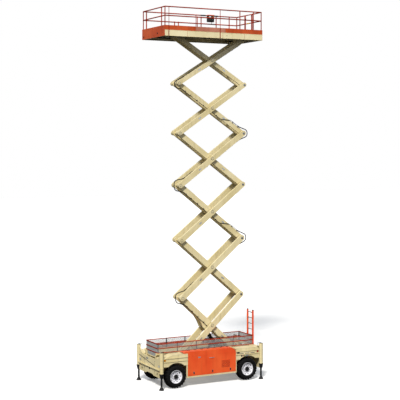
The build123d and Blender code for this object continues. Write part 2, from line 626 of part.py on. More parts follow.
for name, side in (("engine", -1), ("service", 1)):
    back_y = RAIL_Y + RAIL_WIDTH
    front_y = SIDE_Y - HOOD_SHEET - HOOD_GAP
    frame_x = (DOOR_X[0] - SILL_GAP - SILL[1], DOOR_X[1] + SILL_GAP + SILL[1] / 2)
    with BuildPart() as bay:
        whole_y = on_side(side, back_y, front_y)
        block(BAY_X, whole_y, (BAY_BOTTOM, BAY_BOTTOM + BAY_WALL))
        block(BAY_X, on_side(side, back_y, back_y + BAY_WALL), (BAY_BOTTOM, BAY_TOP))
        for x in ((BAY_X[0], BAY_X[0] + BAY_WALL), (BAY_X[1] - BAY_WALL, BAY_X[1])):
            block(x, whole_y, (BAY_BOTTOM, BAY_TOP))
        # Frame round the door: a sill below, and a post up to the deck at each end
        frame_y = on_side(side, SIDE_Y - SILL[0], SIDE_Y)
        sill_bottom = BAY_BOTTOM - SILL[1]
        block(frame_x, frame_y, (sill_bottom, BAY_BOTTOM))
        block(BAY_X, on_side(side, front_y - BAY_WALL, SIDE_Y), (BAY_BOTTOM - 10, BAY_BOTTOM))
        for x in ((frame_x[0], frame_x[0] + DOOR_POSTS[0]),
                  (frame_x[1] - DOOR_POSTS[1], frame_x[1])):
            block(x, frame_y, (sill_bottom, SKIRT_BOTTOM))
    save(bay, f"{name}_bay")

    with BuildPart() as hood:
        roof = on_side(side, HOOD_HINGE_Y + HINGE_PIN_R + RUNNING_GAP, SIDE_Y)
        roof_end = ROOF_X[1] - HOOD_SLANT[0]
        with BuildSketch(Plane.XZ.offset(-side * SIDE_Y)) as skin:
            with BuildLine():
                Polyline((DOOR_X[0], BAY_BOTTOM + HOOD_GAP), (DOOR_X[0], DECK_TOP + HOOD_GAP),
                         (ROOF_X[0], DECK_TOP + HOOD_GAP), (ROOF_X[0], HOOD_TOP),
                         (roof_end, HOOD_TOP), (DOOR_X[1], HOOD_TOP - HOOD_SLANT[1]),
                         (DOOR_X[1], BAY_BOTTOM + HOOD_GAP), close=True)
            make_face()
        extrude(skin.sketch, amount=side * HOOD_SHEET)
        block((ROOF_X[0], roof_end), roof, (HOOD_TOP - HOOD_SHEET, HOOD_TOP))
        block((BAY_X[0], BAY_X[0] + HOOD_SHEET), roof, (BAY_TOP + HOOD_GAP, HOOD_TOP))
        with BuildSketch(Plane.XZ.offset(-side * SIDE_Y)) as slant:
            with BuildLine():
                low = HOOD_TOP - HOOD_SLANT[1]
                Polyline((roof_end, HOOD_TOP), (DOOR_X[1], low), (DOOR_X[1], low - HOOD_SHEET),
                         (roof_end - HOOD_SHEET / 2, HOOD_TOP - HOOD_SHEET), close=True)
            make_face()
        extrude(slant.sketch, amount=side * (roof[1] - roof[0]))
    save(hood, f"{name}_hood")

with BuildPart() as engine:
    x = (ENGINE_PLACE[0] - ENGINE[0] / 2, ENGINE_PLACE[0] + ENGINE[0] / 2)
    near_rail = RAIL_Y + RAIL_WIDTH + ENGINE_PLACE[1]
    floor = BAY_BOTTOM + BAY_WALL
    block(x, on_side(-1, near_rail, near_rail + ENGINE[1]), (floor, floor + ENGINE[2]))
save(engine, "engine_block")

# ---- Guard fence and ladder ---------------------------------------------------------------

with BuildPart() as fence:
    half = FENCE_TUBE / 2
    for z in (DECK_TOP + half, (DECK_TOP + FENCE_TOP) / 2, FENCE_TOP - half):
        rail_z = (z - half, z + half)
        for y in (-FENCE_Y, FENCE_Y):
            block(FENCE_X, (y - half, y + half), rail_z)
        for x in FENCE_X:
            block((x - half, x + half), (-FENCE_Y - half, FENCE_Y + half), rail_z)
save(fence, "guard_fence")

with BuildPart() as fence_posts:
    first, last = FENCE_X[0] + FENCE_TUBE, FENCE_X[1] - FENCE_TUBE
    for index in range(FENCE_POSTS):
        x = first + index * (last - first) / (FENCE_POSTS - 1)
        for side in (-1, 1):
            inward = on_side(side, FENCE_Y - half - FENCE_TUBE, FENCE_Y - half)
            block((x - half, x + half), inward, (DECK_TOP, FENCE_TOP))
save(fence_posts, "fence_posts")

with BuildPart() as ladder:
    half = LADDER_TUBE / 2
    for y in LADDER_Y:
        block((LADDER_X, LADDER_X + LADDER_TUBE), (y - half, y + half), (DECK_TOP, LADDER_TOP))
    rungs = int((LADDER_TOP - DECK_TOP - 100) / RUNG_STEP)
    for index in range(rungs):
        z = LADDER_TOP - 120 - index * RUNG_STEP
        x = LADDER_X + half
        round_bar((x, LADDER_Y[0], z), (x, LADDER_Y[1], z), RUNG_R)
save(ladder, "ladder")

# ---- Platform -----------------------------------------------------------------------------

with BuildPart() as platform:
    # The orange front board stands before the rim, so the rim starts behind it
    rim_x = (PLATFORM_X[0] + TOE_THICKNESS, PLATFORM_X[1])
    block(rim_x, (-PLATFORM_Y, PLATFORM_Y), (FLOOR_TOP - FLOOR_THICKNESS, RIM_TOP))
    block((PLATFORM_X[0] + RIM_WIDTH, PLATFORM_X[1] - RIM_WIDTH),
          (-PLATFORM_Y + RIM_WIDTH, PLATFORM_Y - RIM_WIDTH), (RIM_TOP, FLOOR_TOP))
    for x in ((rim_x[0], rim_x[0] + FASCIA_THICKNESS), (rim_x[1] - FASCIA_THICKNESS, rim_x[1])):
        block(x, (-PLATFORM_Y, PLATFORM_Y), (FASCIA_BOTTOM, RIM_TOP))
    track_x = (rim_x[0] + FASCIA_THICKNESS + TRACK_END[1] / 2, TOP_ROLLER_X + TRACK_END[0])
    count, width, joist_depth = JOISTS
    under = FLOOR_TOP - FLOOR_THICKNESS
    spacing = (rim_x[1] - rim_x[0] - FASCIA_THICKNESS) / (count + 1)
    for side in (-1, 1):
        fascia_y = PLATFORM_Y - FASCIA_THICKNESS
        block(rim_x, on_side(side, fascia_y, PLATFORM_Y), (FASCIA_BOTTOM, RIM_TOP))
        block(rim_x, on_side(side, BEAM_Y, BEAM_Y + BEAM_WIDTH), (FASCIA_BOTTOM, RIM_TOP))
        roller_track(side, track_x, TOP_PIN_Z)
        for index in range(1, count + 1):
            x = rim_x[0] + index * spacing
            block((x, x + width), on_side(side, BEAM_Y + BEAM_WIDTH, fascia_y),
                  (under - joist_depth, under))
        # Pin plate for the fixed end of the highest outer arms
        plate = on_side(side, OUTER_FACE_Y + PIN_HEAD_GAP, BEAM_Y)
        block((TOP_PIN_X - 80, TOP_PIN_X + 80), plate, (TOP_PIN_Z - 50, RIM_TOP))
        round_bar((TOP_PIN_X, plate[0], TOP_PIN_Z), (TOP_PIN_X, plate[1], TOP_PIN_Z),
                  ARM_PIN_R + PIN_CLEARANCE, Mode.SUBTRACT)
save(platform, "platform_deck")

with BuildPart() as toe_boards:
    toe_z = (RIM_TOP, RIM_TOP + TOE_HEIGHT)
    for side in (-1, 1):
        board = on_side(side, PLATFORM_Y - TOE_THICKNESS, PLATFORM_Y - TOE_SKIN / 2)
        skin = on_side(side, PLATFORM_Y - TOE_THICKNESS, PLATFORM_Y)
        block(PLATFORM_X, board, toe_z)
        for x in ((PLATFORM_X[0], TOE_RECESS_X[0]), (TOE_RECESS_X[1], PLATFORM_X[1])):
            block(x, skin, toe_z)
    front = (PLATFORM_X[0], PLATFORM_X[0] + TOE_THICKNESS)
    block(front, (-PLATFORM_Y, PLATFORM_Y), (FASCIA_BOTTOM, toe_z[1]))
    rear = (PLATFORM_X[1] - TOE_THICKNESS, PLATFORM_X[1])
    for y in ((-PLATFORM_Y, GATE_POSTS[0] - 5), (GATE_POSTS[1] + 5, PLATFORM_Y)):
        block(rear, y, toe_z)
save(toe_boards, "toe_boards")

corner_posts = [(x, y) for x in RAIL_X for y in (-SIDE_RAIL_Y, SIDE_RAIL_Y)]
with BuildPart() as rails:
    for z in (TOP_RAIL_Z, MID_RAIL_Z):
        for y in (-SIDE_RAIL_Y, SIDE_RAIL_Y):
            round_bar((RAIL_X[0], y, z), (RAIL_X[1], y, z), RAIL_TUBE_R)
        round_bar((RAIL_X[0], -SIDE_RAIL_Y, z), (RAIL_X[0], SIDE_RAIL_Y, z), RAIL_TUBE_R)
        round_bar((RAIL_X[1], -SIDE_RAIL_Y, z), (RAIL_X[1], GATE_POSTS[0], z), RAIL_TUBE_R)
        round_bar((RAIL_X[1], GATE_POSTS[1], z), (RAIL_X[1], SIDE_RAIL_Y, z), RAIL_TUBE_R)
    posts = [(RAIL_X[0], y, TOP_RAIL_Z) for y in FRONT_POST_Y]
    posts += [(RAIL_X[1], y, TOP_RAIL_Z) for y in GATE_POSTS]
    posts += [(x, y, TOP_RAIL_Z) for x, y in corner_posts]
    for y in (-SIDE_RAIL_Y, SIDE_RAIL_Y):
        posts += [(x, y, TOP_RAIL_Z) for x in POST_X]
        posts += [(x, y, MID_RAIL_Z) for x in STUB_POST_X]
    for x, y, top in posts:
        round_bar((x, y, RIM_TOP), (x, y, top), POST_TUBE_R)
    for x, y in corner_posts + [(RAIL_X[1], y) for y in GATE_POSTS]:
        with Locations((x, y, TOP_RAIL_Z)):
            Sphere(RAIL_TUBE_R)
    # Foot of the gate's hinge post
    lug_top = GATE_BOTTOM - POST_TUBE_R - RUNNING_GAP
    block((RAIL_X[1] - POST_TUBE_R, RAIL_X[1] + POST_TUBE_R),
          (GATE_POSTS[0], GATE_Y[0] + 10 + POST_TUBE_R), (lug_top - 12, lug_top))
    # Thin stays from the fascia's lower edge to the top rail, held to both rails by clips
    stay_y = PLATFORM_Y + STAY_R + RUNNING_GAP
    for side in (-1, 1):
        for x in STAY_X:
            round_bar((x, side * stay_y, FASCIA_BOTTOM), (x, side * stay_y, TOP_RAIL_Z), STAY_R)
            for z in (TOP_RAIL_Z - 2 * STAY_R, MID_RAIL_Z):
                block((x - STAY_R / 2, x + STAY_R / 2), on_side(side, SIDE_RAIL_Y, stay_y),
                      (z - STAY_R / 2, z + STAY_R / 2))
save(rails, "platform_rails")

with BuildPart() as gate:
    y = (GATE_Y[0] + 10, GATE_Y[1] - 10)
    for z in (TOP_RAIL_Z, MID_RAIL_Z, GATE_BOTTOM):
        round_bar((RAIL_X[1], y[0], z), (RAIL_X[1], y[1], z), POST_TUBE_R)
    for post_y in y:
        round_bar((RAIL_X[1], post_y, GATE_BOTTOM), (RAIL_X[1], post_y, TOP_RAIL_Z), POST_TUBE_R)
        with Locations((RAIL_X[1], post_y, TOP_RAIL_Z), (RAIL_X[1], post_y, GATE_BOTTOM)):
            Sphere(POST_TUBE_R)
save(gate, "platform_gate")

with BuildPart() as control:
    x = (CONTROL_BOX_X - CONTROL_BOX[0] / 2, CONTROL_BOX_X + CONTROL_BOX[0] / 2)
    rail_face = SIDE_RAIL_Y - RAIL_TUBE_R
    top = TOP_RAIL_Z + RAIL_TUBE_R
    block(x, (rail_face - CONTROL_BOX[1], rail_face), (top - CONTROL_BOX[2], top))
save(control, "control_box")

# ---- Lift cylinders -----------------------------------------------------------------------

way = Vector(LUG_X - CYLINDER_FOOT[0], 0, LUG_Z - CYLINDER_FOOT[1])
reach = way.length
way = way.normalized()


def on_cylinder(along, y):
    return (CYLINDER_FOOT[0] + way.X * along, y, CYLINDER_FOOT[1] + way.Z * along)


with BuildPart() as barrels:
    for y in (-CYLINDER_Y, CYLINDER_Y):
        round_bar(on_cylinder(BARREL_R - 20, y), on_cylinder(BARREL_LENGTH, y), BARREL_R)
        low, high = y - BARREL_EYE_WIDTH / 2, y + BARREL_EYE_WIDTH / 2
        round_bar((CYLINDER_FOOT[0], low, CYLINDER_FOOT[1]),
                  (CYLINDER_FOOT[0], high, CYLINDER_FOOT[1]), BARREL_R)
        round_bar(on_cylinder(300, y), on_cylinder(BARREL_LENGTH + 1, y),
                  CYLINDER_ROD_R + RUNNING_GAP, Mode.SUBTRACT)
    cross_bar(*CYLINDER_FOOT, CYLINDER_PIN_R + PIN_CLEARANCE, CYLINDER_Y + 80, Mode.SUBTRACT)
save(barrels, "cylinder_barrels")

with BuildPart() as cylinder_rods:
    for y in (-CYLINDER_Y, CYLINDER_Y):
        round_bar(on_cylinder(reach - CYLINDER_ROD_LENGTH, y),
                  on_cylinder(reach - CYLINDER_EYE_R + 10, y), CYLINDER_ROD_R)
        low, high = y - CYLINDER_EYE_WIDTH / 2, y + CYLINDER_EYE_WIDTH / 2
        round_bar((LUG_X, low, LUG_Z), (LUG_X, high, LUG_Z), CYLINDER_EYE_R)
        round_bar((LUG_X, low, LUG_Z), (LUG_X, high, LUG_Z), CYLINDER_EYE_HOLE_R, Mode.SUBTRACT)
save(cylinder_rods, "cylinder_rods")

# ---- Hoses --------------------------------------------------------------------------------
# One hose runs along each arm of the zigzag from the rear pin to the platform. It leaves the
# arm's end in half of a wide loop round the joint, and the next arm's hose takes over there.


def hose_point(number, along, off):
    """A point beside the zigzag's arm, `off` past its upper (or, if negative, lower) edge."""
    lean = -1 if number % 2 else 1
    up = PIN_OFFSET / 2 + (1 if off > 0 else -1) * ARM_DEPTHS[number - 1] / 2 + off
    x, z = arm_point(stages[number - 1], lean, along, up)
    return Vector(x, -HOSE_Y, z)


def bends(route):
    """A radius for each corner that its two runs have room for."""
    radii = []
    last = len(route) - 2
    for index in range(1, last + 1):
        before, after = route[index] - route[index - 1], route[index + 1] - route[index]
        room = min(before.length * (0.95 if index == 1 else 0.45),
                   after.length * (0.95 if index == last else 0.45))
        half_turn = radians(before.get_angle(after) / 2)
        radii.append(min(HOSE_BEND, room / tan(half_turn)))
    print("hose bends:", [round(radius) for radius in radii])
    return radii


straight, past_pin, off_edge = HOSE_ENDS
loops = []  # the lower and the upper corner of the loop at the end of each arm but the last
for number in range(1, STAGES):
    lower = hose_point(number, ARM_LENGTH + past_pin, -HOSE_OFF_EDGE - off_edge)
    upper = hose_point(number + 1, -past_pin, HOSE_OFF_EDGE + off_edge)
    loops.append((lower, upper, (lower + upper) / 2))

for number in range(1, STAGES + 1):
    lean = -1 if number % 2 else 1
    route = [hose_point(number, straight, HOSE_OFF_EDGE),
             hose_point(number, HOSE_CROSSING[0] * ARM_LENGTH, HOSE_OFF_EDGE),
             hose_point(number, HOSE_CROSSING[1] * ARM_LENGTH, -HOSE_OFF_EDGE),
             hose_point(number, ARM_LENGTH - straight, -HOSE_OFF_EDGE)]
    if number > 1:
        route = [loops[number - 2][2], loops[number - 2][1]] + route
    if number < STAGES:
        route += [loops[number - 1][0], loops[number - 1][2]]
    with BuildPart() as hose:
        with BuildLine() as path:
            FilletPolyline(*route, radius=bends(route))
        start = Plane(origin=path.line @ 0, z_dir=path.line % 0)
        with BuildSketch(start):
            Circle(HOSE_R)
        sweep(path=path.line)
        # Clips that hold the hose to the face of its arm, between the inner and outer arms
        face, far = INNER_FACE_Y, HOSE_Y + HOSE_R + CLIP_WALL
        if lean > 0:
            face, far = OUTER_ARM_Y - ARM_THICKNESS / 2, HOSE_Y - HOSE_R - CLIP_WALL
        half_depth = ARM_DEPTHS[number - 1] / 2
        with BuildSketch(arm_plane(stages[number - 1], lean).offset(lean * face)):
            for share in CLIP_PLACES:
                edge = 1 if share < HOSE_CROSSING[0] else -1
                reach = HOSE_OFF_EDGE + HOSE_R + CLIP_WALL
                up = PIN_OFFSET / 2 + edge * (half_depth + reach / 2 - CLIP_GRIP / 2)
                with Locations((share * ARM_LENGTH, up)):
                    Rectangle(CLIP_LENGTH, reach + CLIP_GRIP)
        extrude(amount=lean * (far - face))
    save(hose, f"hose_{number}")
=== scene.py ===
# %% [markdown]
# # A rough-terrain scissor lift, fully raised
# A work platform stands on a stack of six crossed pairs of arms. The chassis below has four
# wheels, four jacks, an engine bay, a fence round the folded stack and a ladder at the rear.
# The CAD part already gives every solid its place. This script gives each its finish, and adds
# what is too fine for CAD: tyre tread, wire mesh, bolts, latches, hoses and controls.

import math

import bmesh
import bpy
from mathutils import Matrix, Vector


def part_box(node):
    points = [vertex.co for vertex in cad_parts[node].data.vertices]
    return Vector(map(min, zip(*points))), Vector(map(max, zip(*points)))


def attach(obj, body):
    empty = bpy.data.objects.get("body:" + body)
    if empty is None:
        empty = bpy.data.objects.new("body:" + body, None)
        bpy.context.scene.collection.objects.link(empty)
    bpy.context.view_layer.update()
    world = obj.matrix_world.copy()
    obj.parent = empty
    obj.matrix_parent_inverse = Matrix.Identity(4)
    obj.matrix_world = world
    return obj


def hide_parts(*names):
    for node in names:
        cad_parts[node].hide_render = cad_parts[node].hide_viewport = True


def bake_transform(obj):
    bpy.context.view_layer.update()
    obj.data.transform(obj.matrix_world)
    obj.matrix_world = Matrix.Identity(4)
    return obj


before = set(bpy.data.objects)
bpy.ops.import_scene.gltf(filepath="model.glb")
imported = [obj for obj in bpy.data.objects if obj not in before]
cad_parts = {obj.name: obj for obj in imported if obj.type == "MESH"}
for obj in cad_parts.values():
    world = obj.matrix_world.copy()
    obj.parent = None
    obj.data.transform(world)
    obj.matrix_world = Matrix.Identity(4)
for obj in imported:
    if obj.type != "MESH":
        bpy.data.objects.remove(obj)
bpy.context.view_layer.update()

# %% [markdown]
# ## Colours and nodes
# Paint codes are written the way a screen shows them, so one function turns them into the linear
# light values that shaders use. Two more wire up a node and add one to a tree: that is all that
# the materials and the Geometry Nodes below need. Noise is the root of every finish here, so
# `blotches` gives it in the machine's own coordinates, at a size in metres.

# %% Colour and node helpers
LOOKS = {}


def linear(code):
    """A colour such as C8B98A as linear light with full opacity."""
    shares = [int(code[i:i + 2], 16) / 255 for i in (0, 2, 4)]
    return [s / 12.92 if s <= 0.04045 else ((s + 0.055) / 1.055) ** 2.4 for s in shares] + [1]


def wire(tree, node, inputs):
    """Sets or links a node's inputs by name or number."""
    for key, value in inputs.items():
        if isinstance(value, bpy.types.NodeSocket):
            tree.links.new(value, node.inputs[key])
        else:
            node.inputs[key].default_value = value


def add(tree, kind, inputs=None, stops=(), **settings):
    """Adds a node with its settings, its inputs, and a colour ramp's stops (place, code)."""
    node = tree.nodes.new(kind)
    for key, value in settings.items():
        setattr(node, key, value)
    wire(tree, node, inputs or {})
    for number, (place, code) in enumerate(stops):
        node.color_ramp.elements[number].position = place
        node.color_ramp.elements[number].color = linear(code)
    return node


def blotches(tree, size, detail=3, stretch=(1, 1, 1)):
    """Noise whose blotches are about `size` metres wide, stretched along an axis if asked."""
    place = add(tree, "ShaderNodeTexCoord").outputs["Object"]
    scaled = add(tree, "ShaderNodeMapping", {"Vector": place, "Scale": stretch}).outputs[0]
    return add(tree, "ShaderNodeTexNoise",
               {"Vector": scaled, "Scale": 1 / size, "Detail": detail}).outputs["Fac"]


def new_surface(name):
    """A new material, kept in LOOKS; returns its tree and its Principled surface."""
    LOOKS[name] = bpy.data.materials.new(name)
    LOOKS[name].use_nodes = True
    tree = LOOKS[name].node_tree
    return tree, tree.nodes["Principled BSDF"]


print("sand E0D09C as linear light:", [round(share, 3) for share in linear("E0D09C")])

# %% [markdown]
# ## Paint
# Machine paint is never one colour. Rain carries dust down the sides in streaks, the sun bleaches
# it in wide patches, and a fine ripple from spraying breaks up the reflections. So each paint
# mixes a wide bleaching noise, a narrow noise stretched upwards for the streaks, painted shade in
# corners and hollows (a third tone where ambient occlusion finds them), and a bump of a few
# millimetres. All patterns use real sizes. A Map Range takes its inputs by number: value, from
# low, from high, to low, to high.

# %% Paint
PATCH, RUN, SPOT, RIPPLE = 0.9, 0.11, 0.025, 0.004  # widths of the patterns in metres


def paint(name, pale, body, grime_and_shade, streak=0.5, rough=0.45, metal=0.0, corner_shade=0.35, reach=0.12,
          shine=0.5):
    """Enamel between two tones; a third colour gives dirt streaks, and painted shade in corners
    within `reach`.
    """
    tree, surface = new_surface(name)
    patches = add(tree, "ShaderNodeValToRGB", {0: blotches(tree, PATCH)},
                  [(0.35, body), (0.65, pale)])
    runs = blotches(tree, RUN, 4, (1, 1, 0.12))
    streaks = add(tree, "ShaderNodeMapRange", {0: runs, 1: 0.5, 2: 0.8, 3: 0, 4: streak})
    # Painted shade: ambient occlusion mixes the third colour into corners and hollows.
    hollow = add(tree, "ShaderNodeAmbientOcclusion", {"Distance": reach}).outputs["AO"]
    corners = add(tree, "ShaderNodeMapRange", {0: hollow, 1: 0.35, 2: 0.85, 3: corner_shade, 4: 0})
    dirt_and_shade = add(tree, "ShaderNodeMath", {0: streaks.outputs[0], 1: corners.outputs[0]},
               operation="MAXIMUM")
    mixed = add(tree, "ShaderNodeMix",
                {0: dirt_and_shade.outputs[0], 6: patches.outputs[0], 7: linear(grime_and_shade)}, data_type="RGBA")
    gloss = add(tree, "ShaderNodeMapRange",
                {0: blotches(tree, SPOT, 5), 1: 0.3, 2: 0.8, 3: rough - 0.08, 4: rough + 0.15})
    bump = add(tree, "ShaderNodeBump",
               {"Height": blotches(tree, RIPPLE, 1), "Strength": 0.08, "Distance": 0.002})
    wire(tree, surface, {
        "Base Color": mixed.outputs[2], "Roughness": gloss.outputs[0], "Normal": bump.outputs[0],
        "Metallic": metal, "Specular IOR Level": shine})


# Pale sand that has yellowed, with olive-brown dust in the runs, and olive-brown painted shade in
# the corners
paint("cream_paint", "F1E3B6", "E0D09C", "8A7844", 0.3, 0.42, corner_shade=0.5)
# The same sand, a tone lighter, on the platform frame; near-black painted shade blackens its
# underside and hollows
paint("frame_paint_with_shade", "FDF2C8", "F0E2B4", "171108", 0.08, 0.45, corner_shade=1.0, reach=0.7, shine=0.25)
# Bright orange-red, a little faded, with soot in the streaks and painted shade in the corners
paint("orange_paint", "FA6832", "EF5024", "8E2C14", 0.2, 0.42, corner_shade=0.5, shine=0.25)
# The same on the platform's boards, browner where boots and tools have dulled it, with painted
# shade in the corners
paint("worn_orange", "D96234", "C24E26", "5E2412", 0.3, 0.55, corner_shade=0.5, shine=0.12)
# The same red on rails, made darker and browner all over as painted shade, with dark streaks and
# painted shade in the corners
paint("shaded_rail_red", "B8380F", "92290A", "3A140A", 0.4, 0.55, corner_shade=0.3, shine=0.12)
# Dull pink-brown primer where the toe board's outer skin is missing
paint("old_primer", "D08A74", "BC7660", "6E4438", 0.4, 0.7, shine=0.2)
# Black enamel with grey dust
paint("dark_paint", "232326", "121214", "3F3B34", 0.25, 0.5, shine=0.2)
# White wheel enamel with brake dust in streaks, and grey painted shade in the corners
paint("rim_white", "F8F8FC", "ECECF3", "8E8A92", 0.12, 0.3, corner_shade=0.25)
# Cast iron under a thin grey coat, oily in places, with dark painted shade in the corners
paint("engine_iron", "5A5D61", "3D3F42", "1B1916", 0.7, 0.5, 0.6)
print("paints:", sorted(LOOKS))

# %% [markdown]
# ## Metal, rubber, plastic and glass
# Bare steel shows fine scratches along one way, so its noise is stretched. Rubber is almost black
# with a grey bloom of dust. Lamps have a thin coloured lens over a bright mirror, which a smooth
# surface with a faint ribbing shows well enough at this size.

# %% Metal, rubber, plastic and glass
def plain(name, light, dark, size, rough, metal=0.0, stretch=(1, 1, 1), grain=0.1, shine=0.5):
    """One material of two close tones, whose grain is `size` metres wide."""
    tree, surface = new_surface(name)
    field = blotches(tree, size, 5, stretch)
    tone = add(tree, "ShaderNodeValToRGB", {0: field}, [(0.35, dark), (0.7, light)])
    gloss = add(tree, "ShaderNodeMapRange",
                {0: field, 1: 0, 2: 1, 3: rough - 0.08, 4: rough + 0.1})
    bump = add(tree, "ShaderNodeBump", {"Height": field, "Strength": grain, "Distance": 0.002})
    wire(tree, surface, {
        "Base Color": tone.outputs[0], "Roughness": gloss.outputs[0], "Normal": bump.outputs[0],
        "Metallic": metal, "Specular IOR Level": shine})


# Dusty black rubber
plain("tyre", "111112", "060607", 0.03, 0.75, grain=0.3, shine=0.15)
# Hydraulic hose, a little smoother than the tyres
plain("hose_rubber", "19191B", "0D0D0F", 0.02, 0.5, shine=0.2)
# Hard chrome of a hydraulic rod, bright with faint wear
plain("rod_chrome", "D9DCE0", "B8BCC2", 0.02, 0.16, 1.0, (1, 1, 0.1), 0.02)
# Zinc-plated steel of bolts and fittings
plain("bare_steel", "A5A8AB", "7B7E82", 0.008, 0.38, 1.0)
# Galvanised wire, dull and grey
plain("grey_wire", "B2B5B6", "83888A", 0.01, 0.6)
# Moulded black plastic, slightly grey where hands rub it
plain("black_plastic", "1C1C1E", "101012", 0.05, 0.55, grain=0.2, shine=0.25)
# Ribbed lamp lenses: clear red, white and amber plastic, with a sharp glint
plain("red_lens", "C3121A", "8E0A10", 0.006, 0.12, stretch=(1, 1, 6))
plain("clear_lens", "E8ECEF", "B9C0C6", 0.006, 0.1, stretch=(6, 6, 1))
plain("amber_lens", "F2A022", "C87A10", 0.006, 0.12, stretch=(1, 1, 6))
# Glossy yellow and green plastic of switches, and brushed aluminium of blank plates
plain("switch_yellow", "F3C618", "D9A90E", 0.01, 0.45)
plain("switch_green", "2E9E4A", "1F7C38", 0.01, 0.45)
plain("blank_plate", "D6D8D9", "B5B9BC", 0.01, 0.35, 0.8, (1, 8, 1))
print("looks so far:", len(LOOKS))

# %% [markdown]
# ## Tread plate
# The platform floor is walked on, so it is sheet with raised bars. A pattern of short bars that
# alternate in direction, 60 millimetres apart, is enough for the bump: it comes from two sine
# waves in the sheet's own plane.

# %% Tread plate
BAR_PITCH = 0.06


def tread_plate(name, pale, body):
    """Grey steel tread plate, bright where feet have polished the bars."""
    tree, surface = new_surface(name)
    place = add(tree, "ShaderNodeTexCoord").outputs["Object"]
    axes = add(tree, "ShaderNodeSeparateXYZ", {0: place}).outputs
    waves = []
    for mix in ("ADD", "SUBTRACT"):
        along = add(tree, "ShaderNodeMath", {0: axes[0], 1: axes[1]}, operation=mix)
        scaled = add(tree, "ShaderNodeMath", {0: along.outputs[0], 1: math.tau / BAR_PITCH},
                     operation="MULTIPLY")
        waves.append(add(tree, "ShaderNodeMath", {0: scaled.outputs[0]}, operation="SINE"))
    bars = add(tree, "ShaderNodeMath", {0: waves[0].outputs[0], 1: waves[1].outputs[0]},
               operation="MULTIPLY")
    raised = add(tree, "ShaderNodeMapRange", {0: bars.outputs[0], 1: 0.35, 2: 0.6}).outputs[0]
    worn = add(tree, "ShaderNodeMath", {0: raised, 1: blotches(tree, 0.3)}, operation="MULTIPLY")
    colour = add(tree, "ShaderNodeValToRGB", {0: worn.outputs[0]}, [(0.1, body), (0.7, pale)])
    bump = add(tree, "ShaderNodeBump", {"Height": raised, "Strength": 0.7, "Distance": 0.002})
    gloss = add(tree, "ShaderNodeMapRange",
                {0: blotches(tree, 0.08, 4), 1: 0.3, 2: 0.7, 3: 0.4, 4: 0.65})
    wire(tree, surface, {"Base Color": colour.outputs[0], "Normal": bump.outputs[0],
                         "Roughness": gloss.outputs[0]})


tread_plate("floor_plate", "A9A79E", "6B675C")
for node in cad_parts.values():
    for slot in node.material_slots:
        slot.material = LOOKS[slot.material.name.split(".")[0]]
for name, look in {"platform_rails": "shaded_rail_red", "platform_gate": "shaded_rail_red",
                   "guard_fence": "shaded_rail_red", "platform_deck": "frame_paint_with_shade",
                   "toe_boards": "worn_orange"}.items():
    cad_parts[name].material_slots[0].material = LOOKS[look]
print("looks:", len(LOOKS))

# %% [markdown]
# ## Turned pieces
# Much of a machine is made on a lathe: tyres, rims, pins, caps, filters. So the first form is a
# profile of (radius, distance) turned round an axis. A screw modifier could do it, but points
# worked out here can lie anywhere at once: each keeps its place in the machine's coordinates, so
# that patterns fall right and every object can stay at the origin.

# %% Turned pieces
ALONG_X, ALONG_Y, ALONG_Z = (1, 0, 0), (0, 1, 0), (0, 0, 1)


def made(name, verts, faces, look, edges=()):
    """A mesh object in the scene, with its place in its points."""
    mesh = bpy.data.meshes.new(name)
    mesh.from_pydata([tuple(v) for v in verts], edges, faces)
    mesh.materials.append(LOOKS[look])
    thing = bpy.data.objects.new(name, mesh)
    bpy.context.scene.collection.objects.link(thing)
    return thing


def smoothed(thing, degrees):
    """Smooth shading, with sharp edges where faces meet at more than an angle."""
    thing.data.polygons.foreach_set("use_smooth", [True] * len(thing.data.polygons))
    thing.data.set_sharp_from_angle(angle=math.radians(degrees))
    return thing


def turned(profile, centre, axis, look, steps=32, hollow=False):
    """A profile of (radius, distance) turned round an axis, closed at both ends if not hollow."""
    axis = Vector(axis).normalized()
    side = axis.orthogonal().normalized()
    other = axis.cross(side)
    centre = Vector(centre)
    verts, faces = [], []
    for radius, along in profile:
        for step in range(steps):
            a = math.tau * step / steps
            verts.append(centre + axis * along
                         + (side * math.cos(a) + other * math.sin(a)) * radius)
    for ring in range(len(profile) - 1):
        for step in range(steps):
            a, b = ring * steps + step, ring * steps + (step + 1) % steps
            faces.append((a, b, b + steps, a + steps))
    if not hollow:
        last = (len(profile) - 1) * steps
        faces += [tuple(reversed(range(steps))), tuple(range(last, last + steps))]
    thing = made("turned", verts, faces, look)
    return smoothed(thing, 35) if steps > 8 else thing


def collar(profile, centre, axis, look="dark_paint", steps=40):
    """A turned ring that is open in the middle, for what fits round a tube or pin."""
    return turned(profile, centre, axis, look, steps, hollow=True)

# %% [markdown]
# ## A tree that repeats a piece round an axle
# A tread has dozens of like lugs and a wheel ten like nuts. An array modifier would need a helper
# object to turn by, so a small Geometry Nodes tree does it: points, one to a copy, each turned by
# its share of a full turn about Y. `tree_with` and `close` are the ends of every tree here. `grow`
# runs a tree on a piece and reads the result back as a plain mesh.

# %% Ring tree
def tree_with(name, sockets):
    """A new Geometry Nodes tree with a mesh input, the named inputs, and its ends."""
    tree = bpy.data.node_groups.new(name, "GeometryNodeTree")
    tree.interface.new_socket("Mesh", in_out="INPUT", socket_type="NodeSocketGeometry")
    for label, kind in sockets:
        tree.interface.new_socket(label, in_out="INPUT", socket_type="NodeSocket" + kind)
    tree.interface.new_socket("Material", in_out="INPUT", socket_type="NodeSocketMaterial")
    tree.interface.new_socket("Result", in_out="OUTPUT", socket_type="NodeSocketGeometry")
    return tree, add(tree, "NodeGroupInput").outputs


def close(tree, entry, made_here):
    """Makes instances real, gives the result its material and sends it out."""
    real = add(tree, "GeometryNodeRealizeInstances", {0: made_here})
    painted = add(tree, "GeometryNodeSetMaterial", {"Geometry": real.outputs[0],
                                                    "Material": entry["Material"]})
    add(tree, "NodeGroupOutput", {0: painted.outputs[0]})


